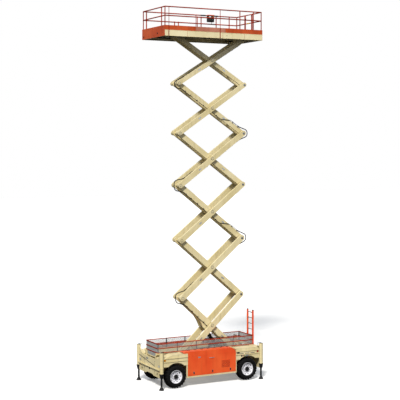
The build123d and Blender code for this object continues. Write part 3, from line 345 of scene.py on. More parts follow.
def grow(thing, tree, **values):
    """Runs a tree on an object, with its named inputs, and keeps the result as its mesh."""
    modifier = thing.modifiers.new("grow", "NODES")
    modifier.node_group = tree
    values["Material"] = thing.data.materials[0]
    for item in tree.interface.items_tree:
        if item.in_out == "INPUT" and item.name in values:
            modifier[item.identifier] = values[item.name]
    bpy.context.view_layer.update()
    result = thing.evaluated_get(bpy.context.evaluated_depsgraph_get())
    mesh = bpy.data.meshes.new_from_object(result)
    thing.modifiers.clear()
    thing.data = mesh
    return thing


ring_tree, entry = tree_with("ring", [("Count", "Int"), ("Phase", "Float")])
points = add(ring_tree, "GeometryNodePoints", {"Count": entry["Count"]})
index = add(ring_tree, "GeometryNodeInputIndex").outputs[0]
turn = add(ring_tree, "ShaderNodeMath", {0: math.tau, 1: entry["Count"]}, operation="DIVIDE")
angle = add(ring_tree, "ShaderNodeMath", {0: index, 1: turn.outputs[0], 2: entry["Phase"]},
            operation="MULTIPLY_ADD")
spin = add(ring_tree, "ShaderNodeCombineXYZ", {"Y": angle.outputs[0]})
copies = add(ring_tree, "GeometryNodeInstanceOnPoints", {
    "Points": points.outputs[0], "Instance": entry["Mesh"], "Rotation": spin.outputs[0]})
close(ring_tree, entry, copies.outputs[0])


def ring_of(thing, count, phase=0.0):
    """Copies of a thing turned round the Y axis."""
    return grow(thing, ring_tree, Count=count, Phase=phase)


print("ring inputs:", [item.name for item in ring_tree.interface.items_tree])

# %% [markdown]
# ## Joining what moves together
# Small pieces that belong to one body become one object, because it is the body that they ride
# on that counts, and a few large objects are quicker than hundreds of small ones.

# %% Joining
def moved(thing, place):
    """Shifts a thing's points to a place."""
    thing.data.transform(Matrix.Translation(place))
    return thing


def joined(things):
    """Several objects as one."""
    bpy.ops.object.select_all(action="DESELECT")
    for thing in things:
        thing.select_set(True)
    bpy.context.view_layer.objects.active = things[0]
    bpy.ops.object.join()
    return things[0]


def together(name, things, body, stands_for=()):
    """Joins the things into one object named `name` that rides on a body."""
    whole = joined(things)
    whole.name = name
    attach(whole, body)
    if stands_for:
        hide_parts(*stands_for)
    print(f"{name}: {sum(len(p.vertices) - 2 for p in whole.data.polygons)} triangles")
    return whole

# %% [markdown]
# ## Tyres
# A field tyre grips with thick slanted lugs that meet in a chevron. The carcass is a turned
# profile, open inside where the rim sits. One lug for each side is a slanted block that runs from
# the middle of the tread over the shoulder, and the ring tree repeats it round the axle. The
# tread stays inside the CAD tyre's outer circle, so the wheel still just touches the ground.

# %% Tyres
TYRE_RADIUS, LUG_COUNT, LUG_HEIGHT = 0.5, 22, 0.034
CROWN = TYRE_RADIUS - 0.0015  # the lugs end a hair inside the CAD tyre
# Half of the carcass's section, as radius and distance along the axle
HALF_SECTION = [(0.281, -0.13), (0.29, -0.145), (0.33, -0.168), (0.345, -0.176), (0.36, -0.172),
                (0.4, -0.178), (0.43, -0.165), (0.452, -0.125), (0.464, -0.06)]
# A lug's line: how far forward, how far out, how far below the crown, and its half width there
LUG_LINE = [(-0.012, 0.006, 0, 0.02), (0.045, 0.09, 0, 0.024), (0.08, 0.15, 0.03, 0.03),
            (0.085, 0.181, 0.085, 0.028)]


def lug(side):
    """A slanted lug from the middle of the tread out over one shoulder, at the top."""
    base = CROWN - LUG_HEIGHT
    verts, faces = [], [(3, 2, 1, 0), (12, 13, 14, 15)]
    for forward, out, fall, half in LUG_LINE:
        for x, z in ((-half, base), (half, base), (half * 0.8, CROWN), (-half * 0.8, CROWN)):
            reach = forward + x
            verts.append((reach, side * out, math.sqrt(z * z - reach * reach) - fall))
    for a in range(0, 12, 4):
        faces += [(a + i, a + (i + 1) % 4, a + 4 + (i + 1) % 4, a + 4 + i) for i in range(4)]
    if side > 0:
        faces = [tuple(reversed(f)) for f in faces]
    return made("lug", verts, faces, "tyre")


wheels = {}
section = HALF_SECTION + [(0.466, 0)] + [(r, -y) for r, y in reversed(HALF_SECTION)]
for name in ("front_left", "front_right", "rear_left", "rear_right"):
    low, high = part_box("tyre_" + name)
    middle = (low + high) / 2
    wheels[name] = (middle, -1 if name.endswith("left") else 1)
    parts = [collar(section, (0, 0, 0), ALONG_Y, "tyre", 64), ring_of(lug(-1), LUG_COUNT),
             ring_of(lug(1), LUG_COUNT, math.pi / LUG_COUNT)]
    parts = [moved(part, middle) for part in parts]
    together("tread_" + name, parts, "wheel_" + name, ["tyre_" + name])

# %% [markdown]
# ## Bolts
# A bolt is a washer with a six-sided head whose edge is broken. It is made at the origin and
# points along an axis. Few sides are enough, since there are hundreds of them. A second tree sets
# another object at each point of a mesh, so that a list of places becomes a scatter of bolts.

# %% Bolts
spots_tree, entry = tree_with("spots", [("Piece", "Object")])
piece = add(spots_tree, "GeometryNodeObjectInfo", {"Object": entry["Piece"]})
copies = add(spots_tree, "GeometryNodeInstanceOnPoints", {
    "Points": entry["Mesh"], "Instance": piece.outputs["Geometry"]})
close(spots_tree, entry, copies.outputs[0])


def bolt(axis, size, look="bare_steel"):
    """A bolt head at the origin that points along an axis; size is its washer's radius."""
    washer = [(size, 0), (size, size * 0.16)]
    head = [(size * 0.8, size * 0.16), (size * 0.8, size * 0.75), (size * 0.62, size * 0.85)]
    return joined([turned(washer, (0, 0, 0), axis, look, 12),
                   turned(head, (0, 0, 0), axis, look, 6)])


def at_points(piece, places):
    """Copies of a piece made at the origin, one at each place."""
    look = piece.data.materials[0].name.split(".")[0]
    cloud = made("places", places, [], look)
    grow(cloud, spots_tree, Piece=piece)
    bpy.data.objects.remove(piece)
    return cloud


def bolts(places, axis, size=0.012, look="bare_steel"):
    """A bolt at each place."""
    return at_points(bolt(axis, size, look), places)


def circle(radius, count):
    """Pairs of numbers evenly round a circle, for a ring of bolts."""
    angles = [math.tau * i / count for i in range(count)]
    return [(radius * math.cos(a), radius * math.sin(a)) for a in angles]


print("scatter inputs:", [item.name for item in spots_tree.interface.items_tree])

# %% [markdown]
# ## Wheel faces
# The wheel's disc carries ten nuts on a circle, a black hub end with six small bolts and its
# drain plug, and a valve in the dish. A ring of hand holes lightens the disc near its edge; each
# is a thin black disc, painted shade where the hole is.
# They could be modelled one by one, but one of each in the ring tree keeps them exactly alike.

# %% Wheel faces
for name, (middle, outward) in wheels.items():
    axis = (0, outward, 0)
    nut = moved(bolt(axis, 0.017), (0, outward * 0.066, 0.155))
    # A black disc as painted shade in each hand hole
    hole_shade = turned([(0.014, 0.0), (0.022, 0.0), (0.022, 0.004), (0.014, 0.004)],
                  (0, outward * 0.072, 0.225), axis, "dark_paint", 16)
    hub = turned([(0.1, 0.108), (0.1, 0.122), (0.088, 0.132), (0.06, 0.134), (0.03, 0.134),
                  (0.03, 0.14), (0.024, 0.144)], (0, 0, 0), axis, "dark_paint", 40)
    valve = turned([(0.006, 0.06), (0.006, 0.1), (0.004, 0.1), (0.004, 0.112)],
                   (0.19, 0, 0.12), axis, "black_plastic", 12)
    cap_bolt = moved(bolt(axis, 0.009), (0, outward * 0.131, 0.075))
    parts = [ring_of(nut, 10), hub, valve, ring_of(hole_shade, 10, math.pi / 10), ring_of(cap_bolt, 6)]
    parts = [moved(part, middle) for part in parts]
    together("wheel_face_" + name, parts, "wheel_" + name)

# %% [markdown]
# ## Stack geometry
# Hoses, bolts and plates on the arms need to know where each arm lies. Every arm of a stage is
# as long as the next, and each stage lies 2.1 degrees flatter than the one below because its
# centre pin stands off the line of its end pins. These lines repeat that arithmetic.

# %% Stack geometry
STAGES, ARM_LENGTH = 6, 3.87
FIRST_ANGLE, ANGLE_STEP = math.radians(42.3), math.radians(2.1)
ARM_DEPTHS = (0.25, 0.25, 0.24, 0.23, 0.205, 0.185)
REAR_PIN = (1.845, 1.06)
PIN_OFFSET = ARM_LENGTH / 2 * math.tan(ANGLE_STEP / 2)
HALF_ARM = ARM_LENGTH / 2 / math.cos(ANGLE_STEP / 2)
COLUMN_X = REAR_PIN[0] - HALF_ARM * math.cos(FIRST_ANGLE + ANGLE_STEP / 2)
INNER_FACE, OUTER_FACE, PIN_FACE = 0.22, 0.35, 0.365  # outer faces of the arms and pin heads

stages = []
level = REAR_PIN[1]
for number, depth in enumerate(ARM_DEPTHS, start=1):
    slope = FIRST_ANGLE - (number - 1) * ANGLE_STEP
    centre = level + HALF_ARM * math.sin(slope + ANGLE_STEP / 2)
    top = centre + HALF_ARM * math.sin(slope - ANGLE_STEP / 2)
    stages.append({
        "slope": slope, "low": level, "centre": centre, "top": top,
        "low_half": HALF_ARM * math.cos(slope + ANGLE_STEP / 2),
        "top_half": HALF_ARM * math.cos(slope - ANGLE_STEP / 2),
        "lean": -1 if number % 2 else 1, "depth": depth,
        "lead": f"arm_{'inner' if number % 2 else 'outer'}_{number}"})
    level = top


def beside(stage, lean, along, up, y):
    """A point given along an arm from its lower pin, towards its upper side, and in Y."""
    slope = stage["slope"]
    x = COLUMN_X - lean * stage["low_half"]
    return Vector((x + lean * (along * math.cos(slope) - up * math.sin(slope)), y,
                   stage["low"] + along * math.sin(slope) + up * math.cos(slope)))


# %% [markdown]
# ## Pins, plates and welds on the arms
# Each pin is kept by a ring of bolts in its head, with a grease nipple in the middle, and where
# it only passes through an arm a bushing shows round it. Weld beads run round the cross tubes
# between the inner arms. A small plate with no writing finishes each arm. Each is a turned
# profile, a ring of bolts or a thin plate set at a place worked out beside the arm, so it lies at
# the arm's slope.

# %% Pins, plates and welds
def pin_ring(x, z, side, y, count=6):
    """Bolts in a ring on a pin head, with a nipple in the middle."""
    axis = (0, side, 0)
    screw = moved(bolt(axis, 0.008), (0, 0, 0.036))
    nipple = turned([(0.006, 0), (0.006, 0.006), (0.003, 0.009), (0.004, 0.014), (0.002, 0.016)],
                    (x, side * y, z), axis, "bare_steel", 12)
    return [moved(ring_of(screw, count), (x, side * y, z)), nipple]


def arm_plate(stage, lean, side, face):
    """A blank plate on an arm's outer face, three tenths of the way up."""
    along, up, y = 0.3 * ARM_LENGTH, PIN_OFFSET / 2, side * (face + 0.0008)
    corners = [beside(stage, lean, along + a, up + b, y)
               for a, b in ((-0.07, -0.03), (0.07, -0.03), (0.07, 0.03), (-0.07, 0.03))]
    if lean * side > 0:
        corners.reverse()
    return made("plate", corners, [(0, 1, 2, 3)], "blank_plate")


for number, stage in enumerate(stages, start=1):
    centre = (COLUMN_X, stage["centre"])
    top_front = (COLUMN_X - stage["top_half"], stage["top"])
    top_rear = (COLUMN_X + stage["top_half"], stage["top"])
    low_front = (COLUMN_X - stage["low_half"], stage["low"])
    inner_parts, outer_parts = [], []
    for side in (-1, 1):
        axis = (0, side, 0)
        for x, z in [centre] if number == STAGES else [centre, top_front]:
            inner_parts += pin_ring(x, z, side, PIN_FACE)
        if number < STAGES:  # the cap of the pin at the outer arm's upper end
            x, z = top_rear
            outer_parts.append(turned([(0.055, 0.0), (0.055, 0.0035), (0.05, 0.0045)],
                                      (x, side * OUTER_FACE, z), axis, "bare_steel"))
            outer_parts += pin_ring(x, z, side, OUTER_FACE + 0.0045, 4)
        # Bushings round the centre pin and round the pin of the arm below
        for x, z in [centre] if number == 1 else [centre, low_front]:
            outer_parts.append(collar([(0.06, 0), (0.072, 0), (0.072, 0.003), (0.06, 0.003)],
                                      (x, side * OUTER_FACE, z), axis, "bare_steel", 32))
        # Weld beads round the two cross tubes between the inner arms
        for along in (ARM_LENGTH / 2 - 1.2, ARM_LENGTH / 2 + 1.2):
            place = beside(stage, -1, along, PIN_OFFSET / 2, side * 0.14)
            inner_parts.append(collar([(0.045, 0.0), (0.052, 0.0), (0.045, 0.007)], place,
                                      (0, -side, 0), "cream_paint", 24))
        inner_parts.append(arm_plate(stage, -1, side, INNER_FACE))
        outer_parts.append(arm_plate(stage, 1, side, OUTER_FACE))
    together(f"pins_inner_{number}", inner_parts, f"arm_inner_{number}")
    together(f"pins_outer_{number}", outer_parts, f"arm_outer_{number}")

# %% [markdown]
# ## A tree that makes tubes
# Hoses, pipes and cables are given as a chain of points. The tree turns the chain of edges into a
# curve, rounds its corners to a bend radius, and sweeps a circle along it. A curve object could
# do the same, but its bends would have to be drawn by hand.

# %% Tube tree
tube_tree, entry = tree_with("tube", [("Radius", "Float"), ("Bend", "Float"), ("Sides", "Int")])
path = add(tube_tree, "GeometryNodeMeshToCurve", {"Mesh": entry["Mesh"]})
bent = add(tube_tree, "GeometryNodeFilletCurve", {
    "Curve": path.outputs[0], "Radius": entry["Bend"], "Count": 5, "Limit Radius": True},
    mode="POLY")
ring = add(tube_tree, "GeometryNodeCurvePrimitiveCircle", {"Resolution": entry["Sides"],
                                                           "Radius": entry["Radius"]})
pipe = add(tube_tree, "GeometryNodeCurveToMesh", {
    "Curve": bent.outputs[0], "Profile Curve": ring.outputs[0], "Fill Caps": True})
close(tube_tree, entry, pipe.outputs[0])


def tube(points, radius, look, bend=0.0, sides=10):
    """A pipe or bar along a chain of points, with rounded bends."""
    chain = made("tube", points, [], look, [(i, i + 1) for i in range(len(points) - 1)])
    return smoothed(grow(chain, tube_tree, Radius=radius, Bend=bend, Sides=sides), 50)


print("tube inputs:", [item.name for item in tube_tree.interface.items_tree])

# %% [markdown]
# ## Hoses up the stack
# Two hydraulic hoses climb to the platform. They lie along one arm of each stage, clipped to its
# edge, and swing out in a free loop past each joint so that they can follow when the stack folds.
# So each loop is a pair of tubes that bends between its two arms, from the middle of one arm to
# the middle of the next; the tube tree rounds its corners. A thick sleeve keeps the pair together
# and safe from rubbing where it hangs free. Curves hooked to two objects would do in a film; here
# each loop is a plain mesh left where it lies, on no body.

# %% Hoses
HOSE_Y, HOSE_RADIUS, SLEEVE_RADIUS, OFF_EDGE, BEND = -0.245, 0.0075, 0.02, 0.022, 0.17
CROSSING = (0.22, 0.34)  # shares of the arm between which a hose changes edges
END_RUN = 0.3  # where the hose leaves the arm, from its end pin
# How far a loop reaches past the pin along the arm, and off the arm's lower and upper edge: wide
# at the front joints and close at the rear ones. When the stack is folded the pins of the flat
# top stages come close to the last loop, so it lies lower.
LOOPS = {"front": (0.1, 0.2, 0.2), "rear": (0.11, 0.11, 0.11), "last": (0.1, 0.15, 0.03)}


def hose_run(number, y, *places):
    """Points off an arm's upper (+1) or lower (-1) edge, each as (along, edge, extra off it)."""
    stage = stages[number - 1]
    points = []
    for along, edge, extra in places:
        up = PIN_OFFSET / 2 + edge * (stage["depth"] / 2 + OFF_EDGE + extra)
        points.append(beside(stage, stage["lean"], along, up, y))
    return points


def lead_in(number, y):
    """From an arm's start to its middle: along the upper edge, then across to the lower."""
    return hose_run(number, y, (END_RUN, 1, 0), (CROSSING[0] * ARM_LENGTH, 1, 0),
                    (CROSSING[1] * ARM_LENGTH, -1, 0), (0.5 * ARM_LENGTH, -1, 0))


def lead_out(number, y):
    """From an arm's middle to near its end, along the lower edge."""
    return hose_run(number, y, (0.5 * ARM_LENGTH, -1, 0), (ARM_LENGTH - END_RUN, -1, 0))


def free_loop(number, y):
    """The two corners of the loop from an arm to the next."""
    last = number == STAGES - 1
    out, off, rise = LOOPS["last" if last else "front" if number % 2 else "rear"]
    return (hose_run(number, y, (ARM_LENGTH + out, -1, off))
            + hose_run(number + 1, y, (-out, 1, rise)))


lanes = (HOSE_Y - HOSE_RADIUS, HOSE_Y + HOSE_RADIUS)
for number in range(1, STAGES):
    tubes = [tube(lead_out(number, y) + free_loop(number, y) + lead_in(number + 1, y),
                  HOSE_RADIUS, "hose_rubber", BEND) for y in lanes]
    sleeve = (hose_run(number, HOSE_Y, (ARM_LENGTH - END_RUN - 0.12, -1, 0),
                       (ARM_LENGTH - END_RUN, -1, 0)) + free_loop(number, HOSE_Y)
              + hose_run(number + 1, HOSE_Y, (END_RUN, 1, 0), (END_RUN + 0.06, 1, 0)))
    whole = joined(tubes + [tube(sleeve, SLEEVE_RADIUS, "hose_rubber", BEND, 14)])
    whole.name = f"hose_loop_{number}"
    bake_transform(whole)
for name, run, number in (("hose_start", lead_in, 1), ("hose_end", lead_out, STAGES)):
    tubes = [tube(run(number, y), HOSE_RADIUS, "hose_rubber", BEND) for y in lanes]
    whole = together(name, tubes, stages[number - 1]["lead"])
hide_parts(*(f"hose_{number}" for number in range(1, STAGES + 1)))

# %% [markdown]
# ## Hose clips
# A black clip every half metre clamps the pair to the arm's face that looks into the gap between
# the inner and outer arms, so it reaches round the edge that the hoses lie on. It is a block
# whose corners are worked out beside the arm, which saves turning it to the slope.

# %% Hose clips
CUBE_FACES = [(0, 1, 2, 3), (7, 6, 5, 4), (0, 4, 5, 1), (1, 5, 6, 2), (2, 6, 7, 3), (3, 7, 4, 0)]
for number, stage in enumerate(stages, start=1):
    lean, half = stage["lean"], stage["depth"] / 2
    depths = (-0.262, -INNER_FACE) if lean < 0 else (-0.27, -0.228)
    clips = []
    for share in (0.1, 0.18, 0.4, 0.5, 0.6, 0.7, 0.8, 0.88):
        edge = 1 if share < CROSSING[0] else -1
        near, beyond = edge * (half - 0.02), edge * (half + OFF_EDGE + 0.013)
        corners = [beside(stage, lean, share * ARM_LENGTH + a, PIN_OFFSET / 2 + b, y)
                   for y in depths
                   for a, b in ((-0.012, near), (0.012, near), (0.012, beyond), (-0.012, beyond))]
        faces = CUBE_FACES if edge * lean > 0 else [f[::-1] for f in CUBE_FACES]
        clips.append(made("clip", corners, faces, "black_plastic"))
    together(f"hose_clips_{number}", clips, stage["lead"])

# %% [markdown]
# ## Blocks and rows
# Sheet and bar have edges that are a little rounded and catch the light, so `box_mesh` cuts them
# with a small chamfer. A fence is hundreds of such bars, so a third tree sets a piece along a
# line by a count and a step, as an array modifier does, and makes it plain mesh at once.

# %% Blocks and rows
row_tree, entry = tree_with("row", [("Count", "Int"), ("Step", "Vector")])
line = add(row_tree, "GeometryNodeMeshLine", {"Count": entry["Count"], "Offset": entry["Step"]})
copies = add(row_tree, "GeometryNodeInstanceOnPoints", {
    "Points": line.outputs[0], "Instance": entry["Mesh"]})
close(row_tree, entry, copies.outputs[0])


def box_mesh(low, high, look, edge=0.002):
    """A box between two corners with small chamfers, faces outwards."""
    spans = [sorted(pair) for pair in zip(low, high)]
    cut = min(edge, *((b - a) / 4 for a, b in spans))
    x, y, z = spans
    verts = [(x[i], y[j], z[k]) for i in (0, 1) for j in (0, 1) for k in (0, 1)]
    faces = [(0, 1, 3, 2), (4, 6, 7, 5), (0, 4, 5, 1), (2, 3, 7, 6), (0, 2, 6, 4), (1, 5, 7, 3)]
    thing = made("box", verts, faces, look)
    form = bmesh.new()
    form.from_mesh(thing.data)
    bmesh.ops.bevel(form, geom=form.edges[:], offset=cut, segments=1, affect="EDGES")
    form.to_mesh(thing.data)
    form.free()
    return thing


def row(thing, count, step):
    """Copies of a thing along a line."""
    return grow(thing, row_tree, Count=count, Step=step)


print("row inputs:", [item.name for item in row_tree.interface.items_tree])

# %% [markdown]
# ## Wire mesh of the fence
# The fence keeps hands out of the folding arms. Its panels are close wire: uprights every 16
# millimetres and level wires every 32 between the rails. At the front end the mesh reaches down
# past the deck to a bar across the frame. One upright with a row tree makes each side. A sheet
# with a see-through pattern would be lighter but looks flat from near; real wires catch the light
# and throw a fine shadow.

# %% Fence mesh
WIRE, PITCH = 0.003, 0.016  # half a wire's thickness, and the space between uprights
INSET = Vector((0.016, 0.016, 0.03))  # from the rails' outside to the middle of the mesh
MESH_SILL = 1.265  # the lowest edge of the mesh at the front end
DECK_TOP = 1.44
FIRST_POST, POST_PITCH = -2.298, 0.9164  # the fence's posts, from the front
low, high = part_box("guard_fence")
low, high = low + INSET, high - INSET


def mesh_panel(start, end, bottom, top):
    """Uprights and level wires between two points on the plan."""
    start, end = Vector((*start, bottom)), Vector((*end, bottom))
    way = (end - start).normalized()
    wide = Vector((WIRE, WIRE, 0))
    upright = box_mesh(start - wide, start + wide + Vector((0, 0, top - bottom)), "grey_wire")
    level = box_mesh(start - wide + Vector((0, 0, 0.02)),
                     end + wide + Vector((0, 0, 0.02 + 2 * WIRE)), "grey_wire")
    return [row(upright, int((end - start).length / PITCH), way * PITCH),
            row(level, int((top - bottom) / (2 * PITCH)), (0, 0, 2 * PITCH))]


parts = []
corners = [(x, y) for y in (low.y, high.y) for x in (low.x, high.x)]
for start, end in ((0, 1), (2, 3), (1, 3), (0, 2)):
    parts += mesh_panel(corners[start], corners[end], low.z, high.z)
parts += mesh_panel((low.x, -0.46), (low.x, 0.46), MESH_SILL, low.z - 0.02)
together("fence_mesh", parts, "chassis")
fence_feet = [(FIRST_POST + i * POST_PITCH + dx, side * 0.556, DECK_TOP + 0.001)
              for side in (-1, 1) for i in range(6) for dx in (-0.03, 0.03)]
together("fence_bolts", [bolts(fence_feet, ALONG_Z, 0.007)], "chassis")

# %% [markdown]
# ## Cut sheet, and even spacing
# Louvres, gussets, ribs and fan blades are flat shapes cut from sheet: an outline in X and Z with
# a thickness in Y. Bolts along a seam are evenly spaced between two ends.

# %% Cut sheet and spacing
def side_strip(side, face, x0, x1, z0, z1, height, look, edge=0.002):
    """A block that stands off a side face of the machine by its height."""
    return box_mesh((x0, side * face, z0), (x1, side * (face + height), z1), look, edge)


def sheet_cut(outline, low_y, high_y, look):
    """An outline in X and Z, given counter-clockwise seen from -Y, between two Y."""
    count = len(outline)
    verts = [(x, y, z) for y in sorted((low_y, high_y)) for x, z in outline]
    faces = [tuple(range(count)), tuple(reversed(range(count, 2 * count)))]
    faces += [(i, i + count, (i + 1) % count + count, (i + 1) % count) for i in range(count)]
    return made("sheet", verts, faces, look)


def spaced(start, end, count):
    """Evenly spaced points from start to end."""
    start, end = Vector(start), Vector(end)
    return [start.lerp(end, i / (count - 1)) for i in range(count)]

# %% [markdown]
# ## Hoods over the side bays
# Each bay is closed by one folded sheet that swings up on a hinge along its top. The panel has a
# pressed frame round it, three rubber latches along the bottom, a row of louvres for the engine's
# air, a grab handle, and a long hinge with its bolts. Pressings are thin raised strips, and each
# fitting is given by how far it stands off the sheet.

# %% Hoods
SKIRT = 1.17  # the outer face of the hoods and of the deck's skirts, from the middle
for hood, side in (("engine_hood", -1), ("service_hood", 1)):
    face = side * SKIRT
    # The pressed border and a seam down the middle
    parts = [side_strip(side, SKIRT, *border, 0.0035, "orange_paint") for border in (
        (-1.15, 1.11, 0.505, 0.525), (-1.15, 1.11, 1.30, 1.32), (-1.15, -1.13, 0.505, 1.32),
        (1.09, 1.11, 0.505, 1.32), (-0.05, -0.03, 0.525, 1.15))]
    # Louvres: short blades that lean out over a slot, a thin dark strip as painted shade
    blade = sheet_cut([(0.0, 0.0), (0.4, 0.0), (0.4, 0.004), (0.0, 0.004)], face,
                      side * (SKIRT + 0.012), "orange_paint")
    for piece in (side_strip(side, SKIRT, 0.45, 0.85, 0.7, 0.712, 0.001, "dark_paint", 0.0002),
                  moved(blade, (0.45, 0, 0.713))):
        parts.append(row(piece, 9, (0, 0, 0.035)))
    # Rubber latches with their steel keepers
    for x in (-0.9, 0.0, 0.88):
        parts += [
            side_strip(side, SKIRT, x - 0.03, x + 0.03, 0.535, 0.64, 0.003, "bare_steel"),
            side_strip(side, SKIRT, x - 0.018, x + 0.018, 0.545, 0.62, 0.016, "black_plastic"),
            bolts([(x + dx, face + side * 0.003, 0.63) for dx in (-0.02, 0.02)], (0, side, 0),
                  0.005)]
    # Grab handle, with a small blank plate beside it
    grip = face + side * 0.022
    parts += [tube([(-0.15, face, 1.17), (-0.15, grip, 1.17), (0.07, grip, 1.17),
                    (0.07, face, 1.17)], 0.009, "blank_plate", 0.012),
              side_strip(side, SKIRT, -0.7, -0.58, 1.2, 1.26, 0.0015, "blank_plate", 0.0005)]
    # Hinge leaves and their bolts along the top
    for x, _, _ in spaced((-1.0, 0, 0), (0.9, 0, 0), 7):
        parts += [box_mesh((x - 0.06, side * 0.816, 1.5), (x + 0.06, side * 0.87, 1.5035),
                           "dark_paint"),
                  bolts([(x + dx, side * 0.85, 1.5035) for dx in (-0.035, 0.035)], ALONG_Z, 0.007)]
    together(f"{hood}_fittings", parts, hood)

# %% [markdown]
# ## Deck, fenders and lights
# The decks that people step on carry strips of black grip tape beside the fence. The fenders have
# rows of bolts along their ribs, rolled lips over the wheels, three step slots over the rear
# wheel, and a lamp at each end. The battery switch with its two lamps is at the left rear. All of
# it stands a few millimetres off the sheet, as thin blocks, because a bump in the paint would not
# show in the outline.

# %% Deck and fenders
ARCH_RADIUS, AXLE_X, AXLE_Z = 0.585, 1.74, 0.5
parts = []
for side in (-1, 1):
    skirt = side * SKIRT
    for x0, x1 in ((-2.2, -1.45), (1.2, 2.1)):
        parts.append(box_mesh((x0, side * 0.66, DECK_TOP), (x1, side * 0.74, DECK_TOP + 0.0015),
                              "black_plastic", 0.0004))
    # Bolts above and below the ribs
    rows = []
    for x0, x1 in ((-2.33, -1.25), (1.22, 2.33)):
        for z, count in ((1.355, 9), (1.235, 7)):
            rows += spaced((x0, skirt, z), (x1, skirt, z), count)
    parts.append(bolts(rows, (0, side, 0), 0.008, "cream_paint"))
    # Rolled lip round each wheel arch
    for x in (-AXLE_X, AXLE_X):
        angles = [math.radians(52.5 + 75 * step / 24) for step in range(25)]
        parts.append(tube([(x + ARCH_RADIUS * math.cos(a), side * 1.166,
                            AXLE_Z + ARCH_RADIUS * math.sin(a)) for a in angles],
                          0.009, "dark_paint"))
    # Step slots, each a dark strip as painted shade under a white lip as a painted highlight, and
    # the dark end of the bay's rubber seal
    for x in (1.34, 1.62, 1.9):
        parts += [side_strip(side, SKIRT, x, x + 0.2, 1.188, 1.215, 0.0012, "dark_paint", 0.0005),
                  side_strip(side, SKIRT, x, x + 0.2, 1.215, 1.221, 0.012, "rim_white")]
    parts.append(side_strip(side, SKIRT, 1.2, 1.33, 1.222, 1.288, 0.02, "black_plastic", 0.006))
    # Lamps at the four corners of the deck
    for x, lens in ((-2.28, "amber_lens"), (2.25, "red_lens")):
        parts += [side_strip(side, SKIRT, x - 0.045, x + 0.045, 1.2, 1.275, 0.006,
                             "black_plastic"),
                  side_strip(side, 1.176, x - 0.038, x + 0.038, 1.207, 1.268, 0.01, lens, 0.006)]
# Battery switch, its lamps and a blank plate at the left rear
for x, look, radius in ((1.45, "black_plastic", 0.03), (1.54, "red_lens", 0.018),
                        (1.6, "switch_green", 0.014)):
    parts.append(turned([(radius + 0.006, 0), (radius + 0.006, 0.004), (radius, 0.007),
                         (radius * 0.8, 0.014)], (x, -SKIRT, 1.1), (0, -1, 0), look, 24))
parts.append(box_mesh((1.66, -SKIRT, 1.07), (1.78, -1.174, 1.13), "blank_plate"))
together("deck_fittings", parts, "chassis")

# %% [markdown]
# ## Jack tubes
# Each jack tube has a flared sleeve at its foot, two bands that clamp it to the end plate, and a
# bolted cap with a fitting on top, from which a hose drops behind the plate. All four are the
# same but for the corner they stand at.

# %% Jack tubes
JACK_X, JACK_Y = 2.43, 1.155


def jack_tube(end, side):
    """What is fitted to the jack tube at one end and side."""
    x, y = end * JACK_X, side * JACK_Y
    hose_x, hose_y = x - end * 0.125, y - side * 0.06
    bands = [collar([(0.0855, 0), (0.092, 0.002), (0.092, 0.028), (0.0855, 0.03)], (x, y, z),
                    ALONG_Z, "cream_paint") for z in (0.9, 1.25)]
    return [
        collar([(0.0585, 0.488), (0.064, 0.492), (0.1, 0.655), (0.1, 0.685), (0.0855, 0.69)],
               (x, y, 0), ALONG_Z),
        *bands,
        turned([(0.078, 1.57), (0.078, 1.576), (0.03, 1.58), (0.03, 1.588), (0.018, 1.59)],
               (x, y, 0), ALONG_Z, "dark_paint"),
        bolts([(x + dx, y + dy, 1.576) for dx, dy in circle(0.062, 6)], ALONG_Z, 0.008),
        tube([(x, y, 1.585), (x, y, 1.604), (hose_x, hose_y, 1.604), (hose_x, hose_y, 1.3)],
             0.007, "hose_rubber", 0.012)]


print("a jack tube's fittings stand at", (JACK_X, JACK_Y))

# %% [markdown]
# ## End plates
# Each end plate is bolted to the two frame rails. It carries a tow pin, rims round the lashing
# holes, lamps and reflectors, and small gussets under its ledge. A cable is clipped slantwise
# across the front one. What comes in pairs is made in one loop over the two sides, so left and
# right match.

# %% End plates
for name, end in (("front", -1), ("rear", 1)):
    face = end * 2.445
    outward = (end, 0, 0)
    reflector, lens = ("red_lens", "red_lens") if end > 0 else ("amber_lens", "clear_lens")
    gusset = [(0, 0), (0, -0.07), (0.05, 0)] if end > 0 else [(0, 0), (-0.05, 0), (0, -0.07)]
    parts = []
    for side in (-1, 1):
        grid = [(face, side * y, z) for y in (0.49, 0.53) for z in (0.68, 0.9, 1.0, 1.1)]
        parts += [
            bolts(grid, outward, 0.013),
            collar([(0.031, 0), (0.046, 0), (0.044, 0.008), (0.032, 0.008)],
                   (face, side * 0.76, 0.62), outward, "dark_paint", 32),
            turned([(0.03, 0), (0.03, 0.004), (0.024, 0.007)], (face, side * 0.95, 0.72), outward,
                   reflector, 24),
            box_mesh((face, side * 0.9, 0.93), (face + end * 0.012, side * 1.02, 1.0),
                     "black_plastic", 0.004),
            box_mesh((face + end * 0.012, side * 0.906, 0.937),
                     (face + end * 0.022, side * 1.014, 0.993), lens, 0.006)]
        parts += [moved(sheet_cut(gusset, -0.005, 0.005, "cream_paint"), (face, side * y, 0.8))
                  for y in (0.2, 0.6, 0.95)]
        parts += jack_tube(end, side)
    # Tow pin, its rim and a blank plate
    parts += [
        collar([(0.036, 0), (0.06, 0), (0.058, 0.012), (0.036, 0.012)], (face, 0, 0.75), outward,
               "dark_paint", 32),
        turned([(0.033, -0.03), (0.033, -0.001), (0.0, 0.0)], (face, 0, 0.75), outward,
               "black_plastic", 24),
        box_mesh((face, 0.16, 1.08), (face + end * 0.002, 0.34, 1.16), "blank_plate")]
    if end < 0:
        parts.append(tube([(face - 0.004, 1.07, 1.142), (face - 0.004, -0.46, 0.92)], 0.009,
                          "dark_paint"))
    together(f"end_fittings_{name}", parts, "chassis")

